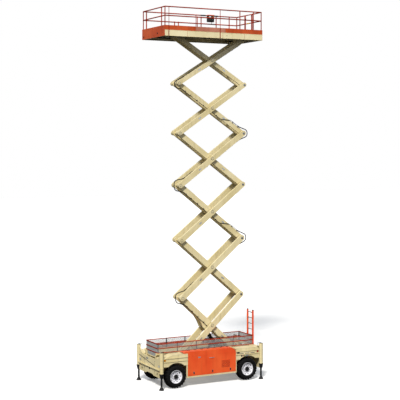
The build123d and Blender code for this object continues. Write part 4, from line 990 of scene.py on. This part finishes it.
# %% [markdown]
# ## Jack feet
# The foot moves with the rod. It has six ribs, and a wiper ring where the rod leaves the tube.
# The ring tree turns about Y, so the rib is tipped on its side first and the whole ring is set
# upright after.

# %% Jack feet
for name, (end, side) in {"front_left": (-1, -1), "front_right": (-1, 1),
                          "rear_left": (1, -1), "rear_right": (1, 1)}.items():
    x, y = end * JACK_X, side * JACK_Y
    rib = sheet_cut([(0.042, 0.045), (0.095, 0.028), (0.095, 0.034), (0.042, 0.13)],
                    -0.005, 0.005, "dark_paint")
    rib.data.transform(Matrix.Rotation(-math.pi / 2, 4, "X"))
    ribs = ring_of(rib, 6)
    ribs.data.transform(Matrix.Rotation(math.pi / 2, 4, "X"))
    wiper = collar([(0.0425, 0.49), (0.05, 0.492), (0.05, 0.498), (0.0425, 0.499)], (x, y, -0.36),
                   ALONG_Z, "bare_steel", 32)
    together(f"foot_ribs_{name}", [moved(ribs, (x, y, 0)), wiper], f"jack_{name}")

# %% [markdown]
# ## Ladder
# The stringers end in black plastic caps. Each rung is wrapped in a ribbed grip, a stack of small
# rings, and the ladder is bolted to the deck by two feet on each side. One rib repeated along the
# rung gives real ridges at its outline, at little cost.

# %% Ladder
FOOT_TOP = DECK_TOP + 0.008
low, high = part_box("ladder")
parts = []
for y in (-0.56, -0.10):
    parts.append(box_mesh((low.x - 0.002, y - 0.032, high.z - 0.03),
                          (high.x + 0.002, y + 0.032, high.z + 0.003), "black_plastic", 0.004))
    for foot_y in (y - 0.05, y + 0.05):
        parts += [box_mesh((low.x, foot_y - 0.02, DECK_TOP), (high.x, foot_y + 0.02, FOOT_TOP),
                           "dark_paint"),
                  bolts([(low.x + 0.03, foot_y, FOOT_TOP)], ALONG_Z, 0.009)]
for rung in range(5):
    ridge = collar([(0.0162, 0), (0.0195, 0.002), (0.0195, 0.006), (0.0162, 0.008)],
                   ((low.x + high.x) / 2, -0.5, high.z - 0.12 - rung * 0.25), ALONG_Y,
                   "bare_steel", 16)
    parts.append(row(ridge, 29, (0, 0.0118, 0)))
together("ladder_fittings", parts, "chassis")

# %% [markdown]
# ## Platform floor
# The floor is tread plate in four sheets, with screw heads along the joints. The plate's bars
# come from the material, since thousands of them would be too many to model.

# %% Floor
FLOOR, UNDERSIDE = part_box("platform_deck")[1].z, 14.933
SEAMS = (-2.205, -1.05, 0.13, 1.31, 2.445)
parts = []
for start, stop in zip(SEAMS, SEAMS[1:]):
    screws = [(x, y, FLOOR + 0.004) for x in (start + 0.03, stop - 0.03)
              for y in (-1.0, -0.5, 0.0, 0.5, 1.0)]
    parts += [box_mesh((start + 0.004, -1.055, FLOOR), (stop - 0.004, 1.055, FLOOR + 0.004),
                       "floor_plate"), bolts(screws, ALONG_Z, 0.007)]
together("floor_sheets", parts, "platform")

# %% [markdown]
# ## Fascia and toe boards
# The fascia has welded seams, a drain plug, cream flanges and a row of small bolts. On the toe
# boards the outer skin is missing in the middle of each side, where dull pink primer shows. The
# orange front end has large bolt heads between rims of flat bar. Strips and bolts that stand a
# little proud give real edges, where a change of paint alone would look flat.

# %% Boards
EDGE_Y = 1.13
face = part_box("platform_deck")[0].x
parts = []
for side in (-1, 1):
    edge, out = side * EDGE_Y, (0, side, 0)
    parts += [side_strip(side, EDGE_Y, x, x + 0.008, 14.936, 15.184, 0.002, "shaded_rail_red", 0.0005)
              for x in (0.385, 0.52, -1.2, 1.6)]
    parts += [
        side_strip(side, EDGE_Y, -2.26, 2.52, UNDERSIDE, 14.947, 0.004, "cream_paint"),
        side_strip(side, EDGE_Y, -2.26, 2.52, 15.172, 15.187, 0.003, "cream_paint"),
        bolts(spaced((-2.15, edge, 15.155), (2.4, edge, 15.155), 20), out, 0.007, "cream_paint"),
        turned([(0.018, 0), (0.018, 0.003), (0.012, 0.005)], (0.73, edge, 15.06), out,
               "dark_paint", 24),
        # Primer on the recessed middle of the toe board
        box_mesh((-0.798, side * (EDGE_Y - 0.006), 15.19),
                 (0.658, side * (EDGE_Y - 0.0045), 15.381), "old_primer", 0.0004)]
    # Bolts of the skin, and the clamps that hold the rail posts to the board
    parts += [bolts(spaced((x0, edge, z), (x1, edge, z), 8), out, 0.008, "orange_paint")
              for x0, x1 in ((-2.24, -0.83), (0.69, 2.48)) for z in (15.215, 15.355)]
    parts += [box_mesh((x - 0.035, side * 1.115, 15.26), (x + 0.035, side * 1.108, 15.32),
                       "dark_paint") for x in (-2.08, -0.71, -0.52, 1.4, 2.08)]
small = [(-0.96, 15.09), (0.0, 15.06), (0.45, 15.09)] + [(0.48 * i, 15.3) for i in range(-2, 3)]
for places, size in ((small, 0.02), ([(-0.45, 15.09), (0.96, 15.04)], 0.04)):
    parts.append(bolts([(face, y, z) for y, z in places], (-1, 0, 0), size, "dark_paint"))
parts.append(bolts([(2.52, y, z) for y in (-1.0, -0.6, 0.6, 1.0) for z in (15.0, 15.12)],
                   ALONG_X, 0.014))
parts += [box_mesh((face - 0.003, -1.128, z - 0.006), (face, 1.128, z + 0.006), "shaded_rail_red", 0.0008)
          for z in (14.94, 15.37)]
together("board_fittings", parts, "platform")

# %% [markdown]
# ## Platform rails
# Where rails meet posts there is a round weld bead, and each post stands in a round flanged foot.
# Two black foam grips sit on the top rail beside the controls, and yellow hoops for lanyards
# stand at the corners of the floor. Each post has the same three collars, so one loop over a list
# of posts places them all.

# %% Rails
TOP_RAIL, MID_RAIL = 16.173, 15.793
FRONT_X, REAR_X, RAIL_Y = -2.24, 2.48, 1.09
sides = (-RAIL_Y, RAIL_Y)
posts = [(FRONT_X, y) for y in (-0.76, 0.76)] + [(x, y) for x in (FRONT_X, REAR_X) for y in sides]
posts += [(x, y) for x in (1.4, 2.08, -0.71, -0.52) for y in sides]
posts += [(REAR_X, -0.31), (REAR_X, 0.35)]
parts = []
for x, y in posts:
    parts += [
        collar([(0.0225, 0), (0.036, 0), (0.036, 0.008), (0.0225, 0.012)], (x, y, 15.188), ALONG_Z,
               "dark_paint", 24),
        collar([(0.0222, -0.004), (0.0255, 0.0), (0.0222, 0.006)], (x, y, MID_RAIL + 0.026),
               ALONG_Z, "shaded_rail_red", 20),
        collar([(0.0222, -0.006), (0.0255, 0.0), (0.0222, 0.004)], (x, y, MID_RAIL - 0.026),
               ALONG_Z, "shaded_rail_red", 20)]
for x in (0.6, 1.24):
    parts.append(collar([(0.0255, 0), (0.031, 0.006), (0.031, 0.254), (0.0255, 0.26)],
                        (x, RAIL_Y, TOP_RAIL), ALONG_X, "black_plastic", 24))
for x, y in ((-2.205, -1.0), (-2.205, 1.0), (2.445, -0.9), (2.445, 0.9)):
    hoop = [(x, y + dy, FLOOR + z)
            for dy, z in ((-0.025, 0.004), (-0.025, 0.06), (0.025, 0.06), (0.025, 0.004))]
    parts += [box_mesh((x - 0.03, y - 0.02, FLOOR), (x + 0.03, y + 0.02, FLOOR + 0.006),
                       "switch_yellow"), tube(hoop, 0.006, "switch_yellow", 0.02)]
# The stop on the post that the gate closes against
parts.append(box_mesh((2.462, 0.312, 15.99), (2.498, 0.329, 16.05), "black_plastic", 0.004))
together("rail_fittings", parts, "platform")

# %% [markdown]
# ## Gate
# The gate hangs on two hinge sleeves. A yellow sleeve marks its middle rail, and a black housing
# with a bent steel handle holds the spring latch. These pieces ride on the gate's body and not on
# the platform's, so they swing with it.

# %% Gate
parts = [collar([(0.0225, 0), (0.027, 0.002), (0.027, 0.058), (0.0225, 0.06)], (REAR_X, -0.255, z),
                ALONG_Z, "dark_paint", 24) for z in (TOP_RAIL - 0.1, 15.4)]
parts += [
    collar([(0.0225, 0), (0.028, 0.006), (0.028, 0.194), (0.0225, 0.2)], (REAR_X, -0.08, MID_RAIL),
           ALONG_Y, "switch_yellow", 24),
    box_mesh((2.453, 0.262, 16.0), (2.507, 0.318, 16.04), "black_plastic", 0.006),
    tube([(2.455, 0.28, 16.02), (2.43, 0.28, 16.02), (2.43, 0.2, 16.02)], 0.006, "bare_steel",
         0.01)]
together("gate_fittings", parts, "gate")

# %% [markdown]
# ## Control box
# The driver stands by this box on the right-hand rail. Its face carries a joystick in a rubber
# boot, a red stop button on a yellow collar, two rows of toggle switches with the middle pair
# green, and a pale screen. A cable leaves at the bottom and follows the post down. Knobs,
# switches and boot are turned profiles that point inwards from its face.

# %% Control box
BOOT = [(0.03, 0.0), (0.026, 0.006), (0.027, 0.01), (0.02, 0.018), (0.021, 0.022), (0.012, 0.03),
        (0.008, 0.034), (0.008, 0.06), (0.015, 0.075), (0.016, 0.1), (0.01, 0.112)]
INWARD = (0, -1, 0)
low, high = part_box("control_box")
top, panel = high.z, low.y - 0.006
button = (high.x - 0.05, panel, top - 0.09)
parts = [
    box_mesh((low.x - 0.004, low.y - 0.004, top - 0.028), (high.x + 0.004, high.y, top),
             "orange_paint", 0.003),
    box_mesh((low.x + 0.012, panel, low.z + 0.02), (high.x - 0.012, low.y, top - 0.04),
             "dark_paint"),
    box_mesh((low.x + 0.03, panel, top - 0.13), (low.x + 0.14, panel - 0.003, top - 0.06),
             "clear_lens"),
    turned([(0.022, 0), (0.022, 0.006), (0.014, 0.01), (0.02, 0.02), (0.02, 0.03), (0.012, 0.034)],
           button, INWARD, "red_lens"),
    turned([(0.028, 0), (0.028, 0.004)], button, INWARD, "switch_yellow")]
for x, look in ((0.035, "bare_steel"), (0.085, "bare_steel"), (0.135, "switch_green"),
                (0.185, "bare_steel"), (0.235, "bare_steel")):
    parts += [turned([(0.009, 0), (0.009, 0.004), (0.004, 0.006), (0.003, 0.022), (0.004, 0.026)],
                     (low.x + x, panel, top - z), INWARD, look, 16) for z in (0.17, 0.225)]
parts += [
    turned(BOOT, (low.x + 0.07, panel, low.z + 0.06), INWARD, "black_plastic", 24),
    tube([(low.x + 0.22, high.y - 0.05, low.z), (low.x + 0.22, high.y - 0.05, low.z - 0.1),
          (1.37, high.y - 0.02, low.z - 0.1), (1.37, high.y - 0.02, FLOOR + 0.02)],
         0.008, "black_plastic", 0.05)]
together("control_fittings", parts, "platform")

# %% [markdown]
# ## Under the platform
# Seen from the ground, the floor frame shows its bolted joints: a row of bolts along each beam,
# four bolts at the end of each roller track, and the hose that crosses to the control box. The
# bolts point down or outwards, as they would be put in from below.

# %% Under the platform
parts = []
for side in (-1, 1):
    parts += [bolts(spaced((-2.1, side * 0.5, UNDERSIDE), (2.4, side * 0.5, UNDERSIDE), 16),
                    (0, 0, -1), 0.01, "cream_paint"),
              bolts([(x, side * 0.53, z) for x in (2.03, 2.17) for z in (15.0, 15.08)],
                    (0, side, 0), 0.012)]
parts.append(tube([(1.72, -0.245, 15.13), (1.5, -0.245, 15.13), (1.37, -0.9, 15.13),
                   (1.37, -1.04, 15.13)], 0.012, "hose_rubber", 0.06))
together("under_fittings", parts, "platform")

# %% [markdown]
# ## Engine block
# With the hood up, a small four-cylinder diesel shows. Its block is the CAD box's size: a ribbed
# crankcase, a sump, a head with a valve cover, a bell housing, and four injectors with their
# pipes. Its places are counted from the CAD box, so it moves and stretches with that.

# %% Engine block
low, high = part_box("engine_block")
middle_y = (low.y + high.y) / 2


def at(x, y, z):
    """A place in the engine's box, from its low corner, or from a far side if negative."""
    return ((high if x < 0 else low).x + x, (high if y < 0 else low).y + y, low.z + z)


engine = [
    box_mesh(at(0.1, 0.04, 0.06), at(-0.13, -0.04, 0.34), "engine_iron", 0.01),
    box_mesh(at(0.14, 0.06, 0), at(-0.2, -0.06, 0.06), "dark_paint", 0.02),
    box_mesh(at(0.1, 0.06, 0.34), at(-0.15, -0.05, 0.44), "engine_iron", 0.008),
    box_mesh(at(0.12, 0.09, 0.44), at(-0.17, -0.09, 0.5), "dark_paint", 0.018),
    turned([(0.15, 0), (0.17, 0.02), (0.17, 0.1), (0.13, 0.13)],
           (high.x - 0.13, middle_y, low.z + 0.22), ALONG_X, "engine_iron", 40),
    row(box_mesh(at(0.13, 0.03, 0.08), at(0.145, 0.04, 0.32), "engine_iron"), 12, (0.05, 0, 0)),
    bolts(spaced(at(0.16, 0.165, 0.5), at(-0.21, 0.165, 0.5), 5), ALONG_Z, 0.013)]
for x, _, _ in spaced(at(0.2, 0, 0), at(-0.26, 0, 0), 4):
    pipe = [(x, low.y + 0.075, low.z + 0.5), (x, low.y + 0.05, low.z + 0.52),
            (x - 0.03, low.y + 0.035, low.z + 0.36), at(0.42, 0.03, 0.25)]
    engine += [turned([(0.014, 0), (0.014, 0.05), (0.008, 0.055), (0.008, 0.075)],
                      (x, low.y + 0.075, low.z + 0.43), ALONG_Z, "bare_steel", 16),
               tube(pipe, 0.003, "bare_steel", 0.02, 8)]
print("engine pieces so far:", len(engine))

# %% [markdown]
# ## Belt drive, filters and exhaust
# At the engine's front end a belt runs over three pulleys, and a fan of seven blades stands
# before them. Along the sides are an oil filter, an air filter, the exhaust with its silencer and
# a dipstick. The belt and the pipes are tubes along a few points, and the rest is turned.

# %% Belt drive, filters and exhaust
FORWARD = (-1, 0, 0)
front = low.x + 0.1
for y, z, radius in ((middle_y, 0.18, 0.075), (low.y + 0.08, 0.36, 0.04), (middle_y, 0.39, 0.06)):
    groove = [(radius, 0), (radius, 0.006), (radius - 0.006, 0.012), (radius, 0.018),
              (radius, 0.024), (0.02, 0.024), (0.02, 0.03)]
    engine.append(turned(groove, (front, y, low.z + z), FORWARD, "dark_paint"))
belt = [(front - 0.012, y, low.z + z) for y, z in (
    (middle_y + 0.075, 0.18), (middle_y + 0.06, 0.42), (middle_y, 0.452), (low.y + 0.06, 0.4),
    (low.y + 0.045, 0.34), (middle_y - 0.05, 0.115), (middle_y + 0.05, 0.115),
    (middle_y + 0.075, 0.18))]
fan = ring_of(sheet_cut([(-0.02, 0.04), (0.03, 0.05), (0.035, 0.15), (-0.03, 0.15)], -0.002, 0.002,
                        "black_plastic"), 7, 0.3)
fan.data.transform(Matrix.Rotation(math.pi / 2, 4, "Z"))
engine += [
    tube(belt, 0.006, "black_plastic", 0.03, 8),
    moved(fan, (low.x + 0.03, middle_y, low.z + 0.39)),
    turned([(0.045, 0), (0.045, 0.03), (0.02, 0.045), (0.02, 0.07)],
           (low.x + 0.07, middle_y, low.z + 0.39), FORWARD, "bare_steel", 24),
    turned([(0.045, 0), (0.05, 0.005), (0.05, 0.11), (0.04, 0.12)], at(0.5, 0.035, 0.13), ALONG_Z,
           "blank_plate"),
    turned([(0.07, 0), (0.075, 0.006), (0.075, 0.05), (0.07, 0.054), (0.07, 0.25), (0.05, 0.27)],
           at(0.45, -0.08, 0.48), ALONG_X, "black_plastic", 40),
    tube([at(0.25, -0.055, 0.38), at(0.25, -0.03, 0.38), at(0.6, -0.03, 0.36),
          at(0.82, -0.05, 0.36)], 0.024, "engine_iron", 0.04, 16),
    turned([(0.03, 0), (0.05, 0.01), (0.05, 0.2), (0.03, 0.21)], at(-0.06, -0.06, 0.32), ALONG_Z,
           "engine_iron"),
    tube([at(0.62, 0.04, 0.2), at(0.62, 0.03, 0.46), at(0.64, 0.03, 0.5)], 0.004, "switch_yellow",
         0.02, 8)]
together("engine", engine, "chassis", ["engine_block"])

# %% [markdown]
# ## Engine bay
# Behind the engine stands a fuel tank under two straps, with its filler. Before it is the
# radiator, whose fins are one thin blade in a row, with its top hose. A radiator could have a
# striped picture on it; blades of thin sheet look right from any side.

# %% Engine bay
BAY_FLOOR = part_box("engine_bay")[0].z + 0.08


def bay_box(x0, y0, z0, x1, y1, z1, look, edge=0.002):
    """A block between two corners whose heights count from the floor of the bays."""
    return box_mesh((x0, y0, BAY_FLOOR + z0), (x1, y1, BAY_FLOOR + z1), look, edge)


fin = bay_box(-0.725, -1.06, 0.02, -0.655, -1.058, 0.48, "bare_steel", 0.0003)
bays = [
    bay_box(0.48, -1.08, 0, 1.05, -0.68, 0.42, "black_plastic", 0.04),
    *(bay_box(x, -1.084, 0, x + 0.03, -0.676, 0.424, "bare_steel") for x in (0.58, 0.94)),
    turned([(0.035, 0), (0.035, 0.02), (0.045, 0.022), (0.045, 0.045), (0.03, 0.05)],
           (0.78, -0.95, BAY_FLOOR + 0.42), ALONG_Z, "dark_paint"),
    bay_box(-0.72, -1.08, 0, -0.66, -0.66, 0.5, "dark_paint", 0.01),
    row(fin, 38, (0, 0.0105, 0)),
    tube([(-0.66, -0.8, BAY_FLOOR + 0.45), (-0.5, -0.8, BAY_FLOOR + 0.47),
          (-0.46, -0.86, BAY_FLOOR + 0.42)], 0.018, "hose_rubber", 0.04, 12)]
print("bay pieces so far:", len(bays))

# %% [markdown]
# ## Service bay
# The bay on the other side holds the hydraulic tank with its level glass, filler and filter, a
# valve block with four solenoids and their hoses, and two batteries with terminals, leads and a
# strap each. The hoses follow listed points, with corners that the tube tree rounds.

# %% Service bay
bays += [
    bay_box(0.3, 0.62, 0, 1.05, 1.05, 0.55, "cream_paint", 0.015),
    bay_box(0.4, 1.05, 0.2, 0.43, 1.058, 0.4, "clear_lens"),
    bolts([(0.415, 1.05, BAY_FLOOR + z) for z in (0.18, 0.42)], ALONG_Y, 0.01),
    turned([(0.04, 0), (0.04, 0.015), (0.05, 0.018), (0.05, 0.04), (0.035, 0.045)],
           (0.6, 0.85, BAY_FLOOR + 0.55), ALONG_Z, "black_plastic"),
    turned([(0.06, 0), (0.06, 0.006), (0.045, 0.01), (0.045, 0.12), (0.03, 0.13)],
           (0.85, 0.85, BAY_FLOOR + 0.55), ALONG_Z, "blank_plate"),
    bay_box(-0.25, 0.8, 0.12, 0.15, 0.98, 0.26, "bare_steel", 0.006)]
for x in (-0.2, -0.1, 0.0, 0.1):
    route = [(x, 0.8, 0.2), (x, 0.72, 0.2), (x + 0.05, 0.7, 0.4), (0.32, 0.7, 0.42 + x * 0.2)]
    bays += [turned([(0.022, 0), (0.022, 0.07), (0.01, 0.075), (0.01, 0.09)],
                    (x, 0.89, BAY_FLOOR + 0.26), ALONG_Z, "black_plastic", 24),
             tube([(x, y, BAY_FLOOR + z) for x, y, z in route], 0.009, "hose_rubber", 0.04)]
bays.append(bay_box(-0.3, 0.84, 0, 0.2, 0.94, 0.12, "dark_paint", 0.01))
for x in (-0.95, -0.62):
    bays += [bay_box(x, 0.75, 0, x + 0.28, 0.98, 0.2, "black_plastic", 0.008),
             bay_box(x + 0.005, 0.755, 0.2, x + 0.275, 0.975, 0.215, "dark_paint", 0.004)]
    for pole, look in ((x + 0.05, "red_lens"), (x + 0.23, "black_plastic")):
        lead = [(pole, 0.93, 0.228), (pole, 0.93, 0.26), (pole + 0.1, 0.8, 0.26),
                (pole + 0.12, 0.74, 0.1)]
        bays += [turned([(0.012, 0), (0.01, 0.02)], (pole, 0.93, BAY_FLOOR + 0.215), ALONG_Z,
                        "bare_steel", 16),
                 tube([(x, y, BAY_FLOOR + z) for x, y, z in lead], 0.006, look, 0.03)]
    bays.append(bay_box(x + 0.12, 0.745, 0, x + 0.15, 0.985, 0.218, "bare_steel"))
together("bay_contents", bays, "chassis")

# %% [markdown]
# ## Valve bank
# Through the mesh, between the lowest arms, something dark stands on the deck. A bank of
# hydraulic valves would stand there: a steel block with a solenoid coil over each valve and a
# hose to each. One coil, one port and one hose are made, and the row tree repeats them.

# %% Valve bank
VALVES, VALVE_PITCH = 7, 0.09
coil = turned([(0.03, 0), (0.033, 0.004), (0.033, 0.07), (0.028, 0.076), (0.014, 0.078),
               (0.014, 0.092), (0.008, 0.094)], (0.23, -0.495, 1.6), ALONG_Z, "black_plastic", 20)
port = turned([(0.013, 0), (0.013, 0.012), (0.009, 0.014), (0.009, 0.024)],
              (0.23, -0.455, 1.55), ALONG_Y, "bare_steel", 6)
feed = tube([(0.23, -0.432, 1.55), (0.23, -0.41, 1.55), (0.23, -0.41, 1.46)], 0.007,
            "hose_rubber", 0.015)
parts = [
    box_mesh((0.16, -0.535, DECK_TOP + 0.001), (0.84, -0.455, 1.6), "dark_paint", 0.006),
    box_mesh((0.12, -0.54, DECK_TOP), (0.88, -0.45, DECK_TOP + 0.006), "dark_paint", 0.001),
    *(row(piece, VALVES, (VALVE_PITCH, 0, 0)) for piece in (coil, port, feed)),
    bolts([(x, -0.495, DECK_TOP + 0.006) for x in (0.138, 0.862)], ALONG_Z, 0.009),
    box_mesh((0.3, -0.535, 1.47), (0.5, -0.5362, 1.54), "blank_plate", 0.0004)]
together("valve_bank", parts, "chassis")

# %% [markdown]
# ## Lift cylinders
# Each barrel has a gland with a ring of bolts where the rod comes out, two ports with fittings, a
# steel pipe along its side, and a weld bead at its foot. The rods' eyes have grease nipples. All
# of it is placed along the line from the foot's pin to the rod's eye.

# %% Lift cylinders
FOOT, ROD_EYE = Vector((1.2, 0, 0.85)), Vector((0.1365, 0, 2.3547))
GLAND = 1.406  # the barrel's length from its pin
way = (ROD_EYE - FOOT).normalized()
over = Vector((-way.z, 0, way.x))
barrel_parts, rod_parts = [], []
for y in (-0.072, 0.072):
    foot = FOOT + Vector((0, y, 0))
    ring = [foot + way * GLAND + over * a + Vector((0, b, 0)) for a, b in circle(0.053, 8)]
    ports = [turned([(0.018, 0), (0.018, 0.014), (0.012, 0.016), (0.012, 0.03), (0.008, 0.032)],
                    foot + way * along + over * 0.058, over, "bare_steel", 6)
             for along in (0.22, 1.28)]
    pipe = [foot + way * a + over * o for a, o in ((0.22, 0.085), (0.26, 0.1), (1.24, 0.1),
                                                   (1.28, 0.085))]
    barrel_parts += [
        collar([(0.0605, 1.33), (0.068, 1.335), (0.068, 1.4), (0.064, GLAND), (0.0385, GLAND)],
               foot, way),
        bolts(ring, way, 0.006),
        collar([(0.0605, 0.1), (0.066, 0.105), (0.0605, 0.112)], foot, way),
        *ports,
        tube(pipe, 0.007, "bare_steel", 0.02)]
    rod_parts.append(turned([(0.006, 0.079), (0.006, 0.086), (0.003, 0.089), (0.004, 0.095)],
                            ROD_EYE + Vector((0, y, 0)), over, "bare_steel", 12))
together("barrel_fittings", barrel_parts, "cylinder_barrels")
together("rod_fittings", rod_parts, "cylinder_rods")

# %% [markdown]
# ## Axles
# The gear housing in the middle of each axle has a bolted cover on one side and the drive motor
# on the other, with its hose. Flanges and bolts join the axle's tubes to the housing and frame.
# Turned profiles suit all of these, because the real ones are cast or turned round.

# %% Axles
parts = []
for end in (-1, 1):
    x = end * AXLE_X
    cover = [(x + 0.158 * end, a, AXLE_Z + b) for a, b in circle(0.055, 8)]
    parts.append(bolts(cover, (end, 0, 0), 0.012))
    for side in (-1, 1):
        parts += [collar([(0.0855, 0), (0.1, 0.004), (0.1, 0.022), (0.0855, 0.026)],
                         (x, side * 0.3, AXLE_Z), (0, side, 0), "dark_paint", 32),
                  bolts([(x + dx, side * 0.51, 0.66) for dx in (-0.085, 0.085)], ALONG_Z, 0.014)]
    # Drive motor on the inner side of the housing, with its hose
    parts += [turned([(0.07, 0.0), (0.09, 0.0), (0.09, 0.02), (0.065, 0.03), (0.065, 0.16),
                      (0.05, 0.19), (0.03, 0.195)], (x - 0.15 * end, 0, AXLE_Z), (-end, 0, 0),
                     "engine_iron"),
              tube([(x - 0.29 * end, 0, 0.55), (x - 0.29 * end, 0, 0.68),
                    (x - 0.5 * end, 0.1, 0.72), (x - 0.9 * end, 0.36, 0.74)], 0.012,
                   "hose_rubber", 0.06)]
together("axle_fittings", parts, "chassis")

# %% [markdown]
# ## Frame and roller tracks
# Under the deck, the frame rails carry a bundle of hoses and a cable from the bays to the rear
# pin, with clamps. The rollers of the lowest arms run in tracks whose ends have bolted stops.
# Straight tubes are enough for hoses that lie clamped to a rail.

# %% Frame fittings
RAIL_FACE = 0.47  # the frame rails' inner face, from the middle
parts = []
for side in (-1, 1):
    inner = side * RAIL_FACE
    lane = inner - side * 0.015
    parts += [tube([(-0.7, lane, z), (1.9, lane, z)], radius, look) for z, radius, look in (
        (1.24, 0.011, "hose_rubber"), (1.27, 0.011, "hose_rubber"), (1.3, 0.006, "black_plastic"))]
    parts += [box_mesh((x - 0.02, inner, 1.222), (x + 0.02, inner - side * 0.03, 1.315),
                       "bare_steel", 0.003) for x, _, _ in spaced((-0.6, 0, 0), (1.8, 0, 0), 6)]
    parts += [box_mesh((x, side * 0.462, 1.005), (x + 0.012, side * 0.405, 1.115), "dark_paint")
              for x in (-2.15, -0.735)]
# From the frame to the first hose on the stack
parts.append(tube([(1.9, -0.455, 1.27), (2.0, -0.44, 1.27), (2.02, -0.3, 1.2),
                   (1.98, -0.245, 1.13)], 0.011, "hose_rubber", 0.06))
together("frame_fittings", parts, "chassis")

# %% [markdown]
# ## Camera
# The camera stands level at about ten metres, as from a window across the yard, so that uprights
# stay upright. The frame is shifted down instead of tilting the camera. Tilting it would make the
# uprights lean together, which a long lens far away avoids.

# %% Camera
scene = bpy.context.scene
camera_data = bpy.data.cameras.new("camera")
camera_data.lens, camera_data.sensor_width = 96.95, 36
camera_data.shift_y = -0.1426
camera_data.clip_end = 300
camera = bpy.data.objects.new("camera", camera_data)
camera.location = (-22.03, -42.01, 10.404)
camera.rotation_euler = (math.radians(90), 0, math.atan2(-0.4644, 0.8856))
scene.collection.objects.link(camera)
scene.camera = camera
print("camera at", tuple(camera.location))

# %% [markdown]
# ## Floor and light
# One large soft sun gives the bright sides, and a pale world fills the shade. Only the camera
# sees the white backdrop and the bright floor; to the machine the ground is dull, so its
# undersides go dark.

# %% Floor and light
FLOOR_HALF = 150
tree, surface = new_surface("pale_floor")
seen = add(tree, "ShaderNodeLightPath").outputs["Is Camera Ray"]
pale = add(tree, "ShaderNodeValToRGB", {0: blotches(tree, 2.0)}, [(0.3, "FCFCFB"), (0.7, "FFFFFF")])
shown = add(tree, "ShaderNodeMix", {0: seen, 6: linear("35332F"), 7: pale.outputs[0]},
            data_type="RGBA")
glow = add(tree, "ShaderNodeMath", {0: seen, 1: 0.22}, operation="MULTIPLY")
wire(tree, surface, {"Base Color": shown.outputs[2], "Emission Strength": glow.outputs[0],
                     "Emission Color": (1, 1, 1, 1), "Roughness": 0.9})
corners = [(x * FLOOR_HALF, y * FLOOR_HALF, 0) for x, y in ((-1, -1), (1, -1), (1, 1), (-1, 1))]
made("floor", corners, [(0, 1, 2, 3)], "pale_floor")

sun_data = bpy.data.lights.new("sun", "SUN")
sun_data.energy = 3.4
sun_data.angle = math.radians(10)
sun_data.color = (1.0, 0.97, 0.92)
sun = bpy.data.objects.new("sun", sun_data)
sun.rotation_euler = Vector((0.5, 0.62, -0.75)).to_track_quat("-Z", "Y").to_euler()
scene.collection.objects.link(sun)

scene.world = bpy.data.worlds.new("sky")
scene.world.use_nodes = True
sky = scene.world.node_tree
sky.nodes.clear()
rays = add(sky, "ShaderNodeLightPath").outputs
seen = add(sky, "ShaderNodeMath", {0: rays["Is Camera Ray"], 1: rays["Is Glossy Ray"]},
           operation="ADD")
seen = add(sky, "ShaderNodeMath", {0: seen.outputs[0], 1: rays["Is Transmission Ray"]},
           operation="ADD", use_clamp=True)
fill = add(sky, "ShaderNodeBackground", {"Color": linear("E8EEF6"), "Strength": 0.42})
white = add(sky, "ShaderNodeBackground", {"Color": (1, 1, 1, 1), "Strength": 1.0})
mix = add(sky, "ShaderNodeMixShader", {0: seen.outputs[0], 1: fill.outputs[0], 2: white.outputs[0]})
add(sky, "ShaderNodeOutputWorld", {0: mix.outputs[0]})
scene.view_settings.view_transform = "Standard"
print("looks:", len(LOOKS), "lamps:", len(bpy.data.lights))
